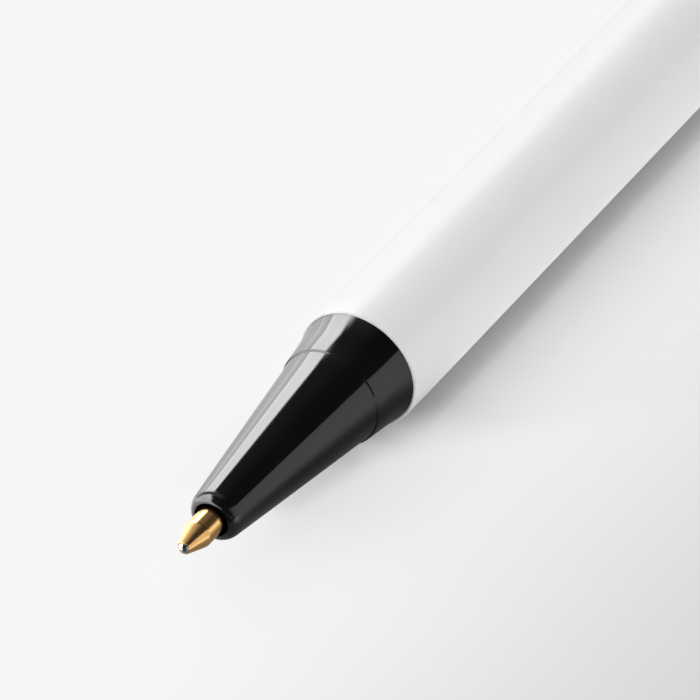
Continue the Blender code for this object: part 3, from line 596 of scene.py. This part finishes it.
def make_end_bush():
    edge = BUSH_EDGE_ROUND
    inner = BUSH_BORE_ROUND
    taper = BUSH_COLLAR_FRONT_RADIUS - BUSH_COLLAR_REAR_RADIUS
    lean = math.degrees(math.atan(taper / BUSH_COLLAR_LENGTH))
    outline = [(BUSH_THROAT_RADIUS, BUSH_FRONT), (PLUG_RADIUS, BUSH_FRONT)]
    outline += [(PLUG_RADIUS, COLLAR_FRONT)]
    collar = [(PLUG_RADIUS, COLLAR_FRONT), (BUSH_COLLAR_FRONT_RADIUS, COLLAR_FRONT)]
    collar += [(BUSH_COLLAR_REAR_RADIUS, BUSH_REAR)]
    outline += filleted(collar, BUSH_FRONT_ROUND)[1:-1]
    outline += arc(BUSH_COLLAR_REAR_RADIUS - edge, BUSH_REAR - edge, edge, lean, 90)
    outline += arc(BUSH_BORE_RADIUS + inner, BUSH_REAR - inner, inner, 90, 180)
    outline += [(BUSH_BORE_RADIUS, THROAT_REAR), (BUSH_THROAT_RADIUS, THROAT_REAR)]
    return turned("end_bush_collar", outline)


def clip_roll():
    """Turn of the clip from straight up at which it and the barrel both rest on the table."""
    height = CLIP_OUTER_HEIGHT - CLIP_EDGE_ROUND
    half_width = CLIP_ROOT_WIDTH / 2 - CLIP_EDGE_ROUND
    reach = math.hypot(height, half_width)
    drop = BARREL_RADIUS - CLIP_EDGE_ROUND
    lean = math.degrees(math.atan2(half_width, height) + math.acos(drop / reach))
    return 180.0 + lean


def fall_share(station, start, bump, tip):
    """Share of the arm's fall towards the barrel: eases to the bump, then lifts at the tip."""
    if station >= bump:
        share = (start - station) / (start - bump)
        return (1 - math.cos(math.pi * share)) / 2
    share = (bump - station) / (bump - tip)
    return 1 - CLIP_TIP_LIFT * (1 - math.cos(math.pi * share)) / 2


def round_off(radius, along):
    """How much a quarter round takes off at a distance along from where it starts."""
    return radius - math.sqrt(max(0.0, radius**2 - along**2))


def section(half, low, high):
    """Rounded rectangle as (height, side) points, going round once."""
    limit = min(half, (high - low) / 2) * CLIP_CORNER_SHARE
    radius = min(CLIP_EDGE_ROUND, limit)
    right = half - radius
    corners = ((high - radius, right), (low + radius, right), (low + radius, -right))
    corners += ((high - radius, -right),)
    points = []
    for i, (height, side) in enumerate(corners):
        points += arc(height, side, radius, 90 * i, 90 * (i + 1), CLIP_SECTION_STEPS)
    return points


def clip_stations(root_rear, dip_start, tip):
    """Stations of the arm's sections from root to tip, closer together where it is rounded."""
    quarter = math.pi / 2 / CLIP_ROUND_STEPS
    stations = []
    for i in range(CLIP_ROUND_STEPS):
        stations.append(root_rear - CLIP_ROOT_ROUND * (1 - math.cos(quarter * i)))
    stations.append(root_rear - CLIP_ROOT_ROUND)
    while stations[-1] - CLIP_STEP > dip_start:
        stations.append(stations[-1] - CLIP_STEP)
    reach = tip + CLIP_TIP_CORNER - dip_start
    stations += [dip_start + reach * i / CLIP_DIP_STEPS for i in range(CLIP_DIP_STEPS)]
    for i in range(CLIP_ROUND_STEPS + 1):
        stations.append(tip + CLIP_TIP_CORNER * (1 - math.sin(quarter * i)))
    return stations


def make_clip_arm():
    roll = clip_roll()
    tip = RING_FRONT + CLIP_ROOT_INSET - CLIP_ARM_LENGTH
    bump_station = tip + CLIP_BUMP_SETBACK
    dip_start = bump_station + CLIP_BUMP_HALF_LENGTH
    under = CLIP_OUTER_HEIGHT - CLIP_THICKNESS
    dip = under - BARREL_RADIUS - CLIP_BUMP_GAP
    root_rear = RING_REAR - CLIP_ROOT_INSET
    inner_front = RING_FRONT + CLIP_ROOT_INSET
    rings = []
    for station in clip_stations(root_rear, dip_start, tip):
        share = min(1.0, max(0.0, (RING_FRONT - station) / CLIP_ARM_LENGTH))
        half = (CLIP_ROOT_WIDTH + (CLIP_TIP_WIDTH - CLIP_ROOT_WIDTH) * share) / 2
        high = CLIP_OUTER_HEIGHT
        low = under
        past = station - (root_rear - CLIP_ROOT_ROUND)
        if past > 0:
            high -= round_off(CLIP_ROOT_ROUND, past)
        if station > inner_front:
            low = BORE_RADIUS + BARREL_WALL / 2
        elif station > inner_front - CLIP_INNER_ROUND:
            low = under - round_off(CLIP_INNER_ROUND, CLIP_INNER_ROUND - (inner_front - station))
        if station < dip_start:
            fall = dip * fall_share(station, dip_start, bump_station, tip)
            high -= fall
            low -= fall
        corner = tip + CLIP_TIP_CORNER - station
        if corner > 0:
            half = max(half - round_off(CLIP_TIP_CORNER, corner), CLIP_TIP_LEAST_HALF)
            left = 1 - (corner / CLIP_TIP_CORNER) ** CLIP_TIP_THINNING
            middle = (high + low) / 2
            thick = (high - low) / 2 * math.sqrt(max(CLIP_TIP_LEAST_SHARE, left))
            high, low = middle + thick, middle - thick
        rings.append([place(*point, station, roll) for point in section(half, low, high)])
    return skinned("clip_arm", rings, CLIP_SHARP_ANGLE)


def make_clip_ring():
    edge = CLIP_RING_EDGE_ROUND
    bore = PLUG_RADIUS + PRESS_GAP
    outline = [(bore, RING_FRONT)]
    outline += arc(BARREL_RADIUS - edge, RING_FRONT + edge, edge, -90, 0)
    outline += arc(BARREL_RADIUS - edge, RING_REAR - edge, edge, 0, 90)
    outline += [(bore, RING_REAR)]
    return turned("clip_ring", outline)


# Nodes


def add_node(tree, kind, values=None, **settings):
    node = tree.nodes.new(kind)
    for key, value in settings.items():
        setattr(node, key, value)
    for key, value in (values or {}).items():
        node.inputs[key].default_value = value
    return node


def maths(tree, operation, *values):
    """Math node; each value is a number or a socket."""
    node = add_node(tree, "ShaderNodeMath", operation=operation)
    for socket, value in zip(node.inputs, values):
        if isinstance(value, (int, float)):
            socket.default_value = value
        else:
            tree.links.new(value, socket)
    return node.outputs[0]


def spread(tree, source, start, end, low=0.0, high=1.0, **settings):
    """From low to high as the source goes from start to end."""
    values = {"From Min": start, "From Max": end, "To Min": low, "To Max": high}
    node = add_node(tree, "ShaderNodeMapRange", values, **settings)
    tree.links.new(source, node.inputs["Value"])
    return node.outputs["Result"]


def smooth(tree, source, start, end):
    """0 at start and 1 at end, eased between; start may be the larger."""
    return spread(tree, source, start, end, interpolation_type="SMOOTHSTEP")


def by_noise(tree, source, low, high):
    """From low to high as a noise goes through the middle of its range."""
    return spread(tree, source, NOISE_LOW, NOISE_HIGH, low, high)


def blend_values(tree, share, first, second):
    """First value at share 0, second at share 1; each is a float or a socket."""
    node = add_node(tree, "ShaderNodeMix", data_type="FLOAT")
    tree.links.new(share, node.inputs["Factor"])
    for socket, value in zip((node.inputs["A"], node.inputs["B"]), (first, second)):
        if isinstance(value, float):
            socket.default_value = value
        else:
            tree.links.new(value, socket)
    return node.outputs["Result"]


def blend_colours(tree, share, first, second):
    node = add_node(tree, "ShaderNodeMix", data_type="RGBA")
    node.inputs["A"].default_value = (*first, 1.0)
    node.inputs["B"].default_value = (*second, 1.0)
    tree.links.new(share, node.inputs["Factor"])
    return node


def blend_shaders(tree, share, first, second):
    mix = tree.nodes.new("ShaderNodeMixShader")
    tree.links.new(share, mix.inputs["Fac"])
    tree.links.new(first, mix.inputs[1])
    tree.links.new(second, mix.inputs[2])
    return mix.outputs["Shader"]


def level_ramp(tree, source, stops, low, high, peak):
    """Curve through (place, level) stops; low and high are the first and last places."""
    places = spread(tree, source, low, high)
    curve = tree.nodes.new("ShaderNodeValToRGB")
    curve.color_ramp.interpolation = "LINEAR"
    elements = curve.color_ramp.elements
    while len(elements) < len(stops):
        elements.new(NEW_STOP)
    shares = sorted(((where - low) / (high - low), level / peak) for where, level in stops)
    for element, (where, share) in zip(elements, shares):
        element.position = where
        element.color = (share, share, share, 1.0)
    tree.links.new(places, curve.inputs["Fac"])
    return maths(tree, "MULTIPLY", curve.outputs["Color"], peak)


# Materials


def new_material(name):
    material = bpy.data.materials.new(name)
    material.use_nodes = True
    tree = material.node_tree
    tree.nodes.clear()
    output = tree.nodes.new("ShaderNodeOutputMaterial")
    shader = tree.nodes.new("ShaderNodeBsdfPrincipled")
    tree.links.new(shader.outputs["BSDF"], output.inputs["Surface"])
    return material, tree, shader


def noise(tree, scale, detail, stretch_by=EVEN):
    """Noise over the object's own coordinates."""
    coordinates = tree.nodes.new("ShaderNodeTexCoord")
    mapping = add_node(tree, "ShaderNodeMapping", {"Scale": stretch_by})
    values = {"Scale": scale, "Detail": detail, "Roughness": NOISE_ROUGHNESS}
    texture = add_node(tree, "ShaderNodeTexNoise", values)
    tree.links.new(coordinates.outputs["Object"], mapping.inputs["Vector"])
    tree.links.new(mapping.outputs["Vector"], texture.inputs["Vector"])
    return texture.outputs["Fac"]


def colour(tree, shader, source, first, second):
    """Base colour that drifts between two colours with a noise."""
    share = by_noise(tree, source, 0.0, 1.0)
    mix = blend_colours(tree, share, first, second)
    tree.links.new(mix.outputs["Result"], shader.inputs["Base Color"])


def bump(tree, shader, source, strength, distance):
    node = add_node(tree, "ShaderNodeBump", {"Strength": strength, "Distance": distance})
    tree.links.new(source, node.inputs["Height"])
    tree.links.new(node.outputs["Normal"], shader.inputs["Normal"])


def plastic(name, first, second, rough, skin_strength, specular):
    """Moulded plastic: slight colour drift, uneven gloss and a faint skin texture."""
    material, tree, shader = new_material(name)
    drift = noise(tree, PLASTIC_DRIFT_SCALE, PLASTIC_DRIFT_DETAIL)
    colour(tree, shader, drift, first, second)
    gloss = noise(tree, PLASTIC_GLOSS_SCALE, PLASTIC_GLOSS_DETAIL, PLASTIC_GLOSS_STRETCH)
    tree.links.new(by_noise(tree, gloss, *rough), shader.inputs["Roughness"])
    shader.inputs["Specular IOR Level"].default_value = specular
    bump(tree, shader, noise(tree, SKIN_SCALE, SKIN_DETAIL), skin_strength, SKIN_DEPTH)
    return material


def metal(name, first, second, rough, ring_scale):
    """Metal with uneven gloss; turned metal also has fine rings round the pen's axis."""
    material, tree, shader = new_material(name)
    shader.inputs["Metallic"].default_value = 1.0
    drift = noise(tree, METAL_DRIFT_SCALE, METAL_DRIFT_DETAIL)
    colour(tree, shader, drift, first, second)
    gloss = noise(tree, METAL_GLOSS_SCALE, METAL_GLOSS_DETAIL, METAL_GLOSS_STRETCH)
    tree.links.new(by_noise(tree, gloss, *rough), shader.inputs["Roughness"])
    if ring_scale:
        coordinates = tree.nodes.new("ShaderNodeTexCoord")
        values = {"Scale": ring_scale, "Distortion": RING_DISTORTION, "Detail": RING_DETAIL}
        rings = add_node(tree, "ShaderNodeTexWave", values, bands_direction="X")
        tree.links.new(coordinates.outputs["Object"], rings.inputs["Vector"])
        bump(tree, shader, rings.outputs["Fac"], RING_STRENGTH, RING_DEPTH)
    return material


def make_materials():
    materials = {key: plastic(*row) for key, row in PLASTICS.items()}
    materials.update({key: metal(*row) for key, row in METALS.items()})
    return materials


# Stage


def make_camera():
    data = bpy.data.cameras.new("camera")
    data.lens = CAMERA_LENS
    data.sensor_width = CAMERA_SENSOR
    data.clip_start = CAMERA_NEAR
    data.clip_end = CAMERA_FAR
    camera = new_object("camera", data)
    heading = math.radians(CAMERA_HEADING)
    tilt = math.radians(CAMERA_ELEVATION)
    level = math.cos(tilt)
    forward = Vector((math.cos(heading) * level, math.sin(heading) * level, -math.sin(tilt)))
    camera.location = CAMERA_PLACE
    camera.rotation_mode = "QUATERNION"
    camera.rotation_quaternion = forward.to_track_quat("-Z", "Y")
    bpy.context.scene.camera = camera


def turn_cosine(angle):
    """Cosine of a turn in degrees, which is how the world's nodes hold turns."""
    return math.cos(math.radians(angle))


def turn_band(tree, source, start, end):
    """0 to 1 as the ray's turn about the pen goes from start to end."""
    return smooth(tree, source, turn_cosine(start), turn_cosine(end))


def turn_ramp(tree, turn, levels, peak):
    """Curve through (angle, level) pairs."""
    stops = [(turn_cosine(angle), level) for angle, level in levels]
    return level_ramp(tree, turn, stops, -1.0, 1.0, peak)


def ray_turn(tree, y, z):
    """Cosine of the ray's turn about the pen from +Y; rays that go down count as level."""
    lift = maths(tree, "MAXIMUM", z, 0.0)
    squares = maths(tree, "MULTIPLY", y, y), maths(tree, "MULTIPLY", lift, lift)
    reach = maths(tree, "SQRT", maths(tree, "ADD", *squares))
    return maths(tree, "DIVIDE", y, maths(tree, "MAXIMUM", reach, LEAST_REACH))


def room_light(tree, x, turn):
    """Dark room, paler overhead and behind, most so where the brass cone mirrors it."""
    front = smooth(tree, x, *FRONT_PLACE_TO)
    front = maths(tree, "MULTIPLY", front, smooth(tree, x, *FRONT_PLACE_FROM))
    front = maths(tree, "MULTIPLY", front, turn_band(tree, turn, *FRONT_TURN))
    room = maths(tree, "MULTIPLY_ADD", turn_band(tree, turn, *ROOM_TOP_TURN), ROOM_TOP, ROOM_DARK)
    return maths(tree, "MULTIPLY_ADD", front, FRONT_LEVEL, room)


def box_light(tree, x, turn, room):
    """Light box over the room, and the glow under it."""
    level = level_ramp(tree, x, BOX_LEVELS, -1.0, 1.0, BOX_PEAK)
    upwards = turn_band(tree, turn, BOX_BOTTOM, BOX_TOP)
    share = maths(tree, "MULTIPLY_ADD", upwards, BOX_TOP_SHARE - BOX_LOW_SHARE, BOX_LOW_SHARE)
    level = maths(tree, "MULTIPLY", level, share)
    past = maths(tree, "MAXIMUM", maths(tree, "SUBTRACT", BOX_BEND_PLACE, x), 0.0)
    past = maths(tree, "MULTIPLY", past, past)
    bent_turn = maths(tree, "MULTIPLY_ADD", past, BOX_BEND, turn)
    above, below = BOX_CRISP_EDGE
    crisp = turn_band(tree, bent_turn, BOX_TOP + above, BOX_TOP - below)
    above, below = BOX_FADED_EDGE
    faded = turn_band(tree, bent_turn, BOX_TOP + above, BOX_TOP - below)
    box = blend_values(tree, smooth(tree, x, *BOX_FADED_PLACE), crisp, faded)
    room = maths(tree, "MULTIPLY_ADD", box, level, room)
    glow = turn_band(tree, turn, BOX_BOTTOM + GLOW_EDGE, BOX_BOTTOM - GLOW_EDGE)
    on_cone = smooth(tree, x, *GLOW_CONE_PLACE)
    glow_level = blend_values(tree, on_cone, GLOW_BRASS_LEVEL, GLOW_CONE_LEVEL)
    glow_level = blend_values(tree, smooth(tree, x, *GLOW_LIP_PLACE), glow_level, GLOW_LIP_LEVEL)
    return maths(tree, "MULTIPLY_ADD", glow, maths(tree, "SUBTRACT", glow_level, level), room)


def card_light(tree, x, turn, room):
    """Card low on the near side, over the room."""
    tilted = maths(tree, "MULTIPLY_ADD", x, CARD_SLOPE, turn)
    edge = turn_cosine(CARD_TURN) + CARD_SLOPE * CARD_PLACE
    card = smooth(tree, tilted, edge + CARD_EDGE, edge - CARD_EDGE)
    card = maths(tree, "MULTIPLY", card, smooth(tree, x, *CARD_FADE_PLACE))
    return maths(tree, "MULTIPLY_ADD", card, CARD_LEVEL, room)


def make_world():
    """The camera sees a plain backdrop, glossy surfaces the studio, all else soft light."""
    world = bpy.data.worlds.new("studio")
    bpy.context.scene.world = world
    world.use_nodes = True
    tree = world.node_tree
    tree.nodes.clear()
    coordinates = tree.nodes.new("ShaderNodeTexCoord")
    split = tree.nodes.new("ShaderNodeSeparateXYZ")
    tree.links.new(coordinates.outputs["Generated"], split.inputs["Vector"])
    x = split.outputs["X"]
    turn = ray_turn(tree, split.outputs["Y"], split.outputs["Z"])
    soft = turn_ramp(tree, turn, SOFT_LEVELS, SOFT_PEAK)
    room = room_light(tree, x, turn)
    room = box_light(tree, x, turn, room)
    room = card_light(tree, x, turn, room)
    ahead = turn_ramp(tree, turn, AHEAD_LEVELS, AHEAD_PEAK)
    room = blend_values(tree, smooth(tree, x, *AHEAD_PLACE), room, ahead)
    rays = tree.nodes.new("ShaderNodeLightPath")
    light = blend_values(tree, rays.outputs["Is Glossy Ray"], soft, room)
    light = blend_values(tree, rays.outputs["Is Camera Ray"], light, BACKDROP_LEVEL)
    background = tree.nodes.new("ShaderNodeBackground")
    output = tree.nodes.new("ShaderNodeOutputWorld")
    tree.links.new(light, background.inputs["Strength"])
    tree.links.new(background.outputs["Background"], output.inputs["Surface"])


def table_mesh():
    edit = bmesh.new()
    cells = TABLE_CELLS
    bmesh.ops.create_grid(edit, x_segments=cells, y_segments=cells, size=TABLE_HALF)
    mesh = bpy.data.meshes.new("table")
    edit.to_mesh(mesh)
    edit.free()
    return mesh


def painted_shade_table_colour(tree, coordinates):
    """Pale near the pen, grey in a band of painted shade on its near side, and pale again beyond.
    """
    across = add_node(tree, "ShaderNodeVectorMath", operation="DOT_PRODUCT")
    across.inputs[1].default_value = TABLE_ACROSS
    tree.links.new(coordinates.outputs["Object"], across.inputs[0])
    # Painted shade: the table's colour greys in a band on the pen's near side
    shade_band = smooth(tree, across.outputs["Value"], *SHADE_BAND_FROM)
    shade_band = maths(tree, "MULTIPLY", shade_band, smooth(tree, across.outputs["Value"], *SHADE_BAND_TO))
    return blend_colours(tree, shade_band, (TABLE_PALE,) * 3, (TABLE_SHADE_GREY,) * 3).outputs["Result"]


def slanted(tree, x, y, slant):
    """x with a share of y added."""
    return maths(tree, "MULTIPLY_ADD", y, slant, x)


def painted_table_reflection(tree, x, y):
    """Glow of the table where a glossy surface mirrors it: a painted reflection, darker near the
    pen as painted shadow.
    """
    first, last = GLOSS_LEVELS[0][0], GLOSS_LEVELS[-1][0]
    level = level_ramp(tree, y, GLOSS_LEVELS, first, last, GLOSS_PEAK)
    lift = maths(tree, "MULTIPLY_ADD", smooth(tree, x, *GLOSS_TIP_X), GLOSS_TIP_LIFT, 1.0)
    level = maths(tree, "MULTIPLY", level, lift)
    across = smooth(tree, y, *GLOSS_AHEAD_Y)
    facing = blend_values(tree, across, GLOSS_AHEAD_NEAR, GLOSS_AHEAD_FAR)
    ahead = blend_values(tree, smooth(tree, x, *GLOSS_AHEAD_X), 1.0, facing)
    level = maths(tree, "MULTIPLY", level, ahead)
    beside = smooth(tree, slanted(tree, x, y, GLOSS_BARREL_SLANT), *GLOSS_BARREL_X)
    beside = maths(tree, "MULTIPLY", beside, smooth(tree, y, *GLOSS_BARREL_Y))
    level = blend_values(tree, beside, level, GLOSS_BARREL_LEVEL)
    beyond = smooth(tree, slanted(tree, x, y, GLOSS_BEYOND_SLANT), *GLOSS_BEYOND_X)
    beyond = maths(tree, "MULTIPLY", beyond, smooth(tree, y, *GLOSS_BEYOND_Y))
    return blend_values(tree, beyond, level, GLOSS_BEYOND_LEVEL)


def cone_shade(tree, x, y):
    """1 in a zone under the nose cone's front half, where less painted light fills the table's
    rendered shade, 0 away from it.
    """
    shade = smooth(tree, maths(tree, "MULTIPLY_ADD", x, SHADE_SLANT, y), *SHADE_PLACE)
    shade = maths(tree, "MULTIPLY", shade, smooth(tree, x, *SHADE_X_TO))
    return maths(tree, "MULTIPLY", shade, smooth(tree, x, *SHADE_X_FROM))


def painted_fill_share(tree, x, y, by_nose):
    """Share of painted light, a glow in the table's own colour, that shows: most by the nose cone
    and behind the pen, where it fills the table's shade.
    """
    nose = maths(tree, "MULTIPLY", by_nose, FILL_NOSE_SHARE)
    # Painted shade: less painted light under the nose cone's front half, so more of the rendered
    # shade shows
    left = maths(tree, "MULTIPLY_ADD", cone_shade(tree, x, y), -SHADE_SHARE, 1.0)
    nose = maths(tree, "MULTIPLY", nose, left)
    nose = maths(tree, "MULTIPLY_ADD", smooth(tree, x, *FILL_TIP_X), FILL_TIP_SHARE, nose)
    near = maths(tree, "MULTIPLY", smooth(tree, y, *FILL_NEAR_Y), FILL_NEAR_SHARE)
    far = maths(tree, "MULTIPLY", smooth(tree, y, *FILL_FAR_Y), FILL_FAR_SHARE)
    return maths(tree, "MAXIMUM", maths(tree, "MAXIMUM", nose, near), far)


def make_table():
    mesh = table_mesh()
    table = new_object("table", mesh)
    material, tree, shader = new_material("pale_table")
    shader.inputs["Roughness"].default_value = TABLE_ROUGHNESS
    shader.inputs["Specular IOR Level"].default_value = 0.0
    coordinates = tree.nodes.new("ShaderNodeTexCoord")
    own = painted_shade_table_colour(tree, coordinates)
    split = tree.nodes.new("ShaderNodeSeparateXYZ")
    tree.links.new(coordinates.outputs["Object"], split.inputs["Vector"])
    x, y = split.outputs["X"], split.outputs["Y"]
    rays = tree.nodes.new("ShaderNodeLightPath")

    # Painted reflection: glossy rays see the table glow at these levels, with painted shadow near
    # the pen
    painted_reflection_glow = tree.nodes.new("ShaderNodeEmission")
    tree.links.new(painted_table_reflection(tree, x, y), painted_reflection_glow.inputs["Strength"])
    # Painted light: the table glows in its own colour for camera rays, filling its shade
    pale = add_node(tree, "ShaderNodeEmission", {"Strength": FILL_GLOW_LEVEL})
    tree.links.new(own, pale.inputs["Color"])

    by_nose = smooth(tree, slanted(tree, x, y, 1.0), *PAINTED_NOSE_ZONE)
    # Painted contact shade: an ambient occlusion mask blends the table's colour towards black for
    # camera rays near the pen, at most half way and not at all by the nose cone
    values = {"Distance": CONTACT_REACH}
    near = add_node(tree, "ShaderNodeAmbientOcclusion", values, samples=CONTACT_SAMPLES)
    contact = maths(tree, "SUBTRACT", 1.0, near.outputs["AO"])
    away = maths(tree, "MULTIPLY_ADD", by_nose, -CONTACT_SHARE, CONTACT_SHARE)
    contact = maths(tree, "MULTIPLY", contact, away)
    contact = maths(tree, "MULTIPLY", contact, rays.outputs["Is Camera Ray"])
    painted_contact_shade = add_node(tree, "ShaderNodeMix", data_type="RGBA")
    tree.links.new(contact, painted_contact_shade.inputs["Factor"])
    tree.links.new(own, painted_contact_shade.inputs["A"])
    painted_contact_shade.inputs["B"].default_value = (0.0, 0.0, 0.0, 1.0)
    tree.links.new(painted_contact_shade.outputs["Result"], shader.inputs["Base Color"])

    # Painted light fills the table's shade by this share, for camera rays only
    share = painted_fill_share(tree, x, y, by_nose)
    share = maths(tree, "MULTIPLY", share, rays.outputs["Is Camera Ray"])
    seen = blend_shaders(tree, share, shader.outputs["BSDF"], pale.outputs["Emission"])
    seen = blend_shaders(tree, rays.outputs["Is Glossy Ray"], seen, painted_reflection_glow.outputs["Emission"])
    tree.links.new(seen, tree.nodes["Material Output"].inputs["Surface"])
    mesh.materials.append(material)


# Assembly


def dress(obj, material, body, node):
    obj.data.materials.append(material)
    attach(obj, body)
    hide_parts(node)


def dress_spring(spring, material):
    spring.data.materials.append(material)
    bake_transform(spring)
    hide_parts("return_spring")


def main():
    bpy.context.scene.view_settings.view_transform = "Standard"
    materials = make_materials()
    make_camera()
    make_world()
    make_table()
    dress(make_barrel(), materials["white"], "shell", "barrel")
    dress(make_nose_cone(), materials["black"], "shell", "nose_cone")
    dress(make_point(), materials["brass"], "refill", "point_socket")
    dress(make_ball(), materials["ball"], "ball", "writing_ball")
    dress_spring(make_spring(), materials["steel"])
    dress(make_push_button(), materials["black"], "button", "push_button")
    dress(make_end_bush(), materials["black"], "shell", "end_bush")
    for piece in (make_clip_arm(), make_clip_ring()):
        dress(piece, materials["black"], "shell", "clip")
    kept = {
        "tip_holder": "holder",
        "ink_tube": "tube",
        "ink_column": "ink",
        "cam_sleeve": "cam",
        "cam_rotor": "cam",
        "plunger": "cam",
    }
    for node, look in kept.items():
        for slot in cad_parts[node].material_slots:
            slot.material = materials[look]


main()
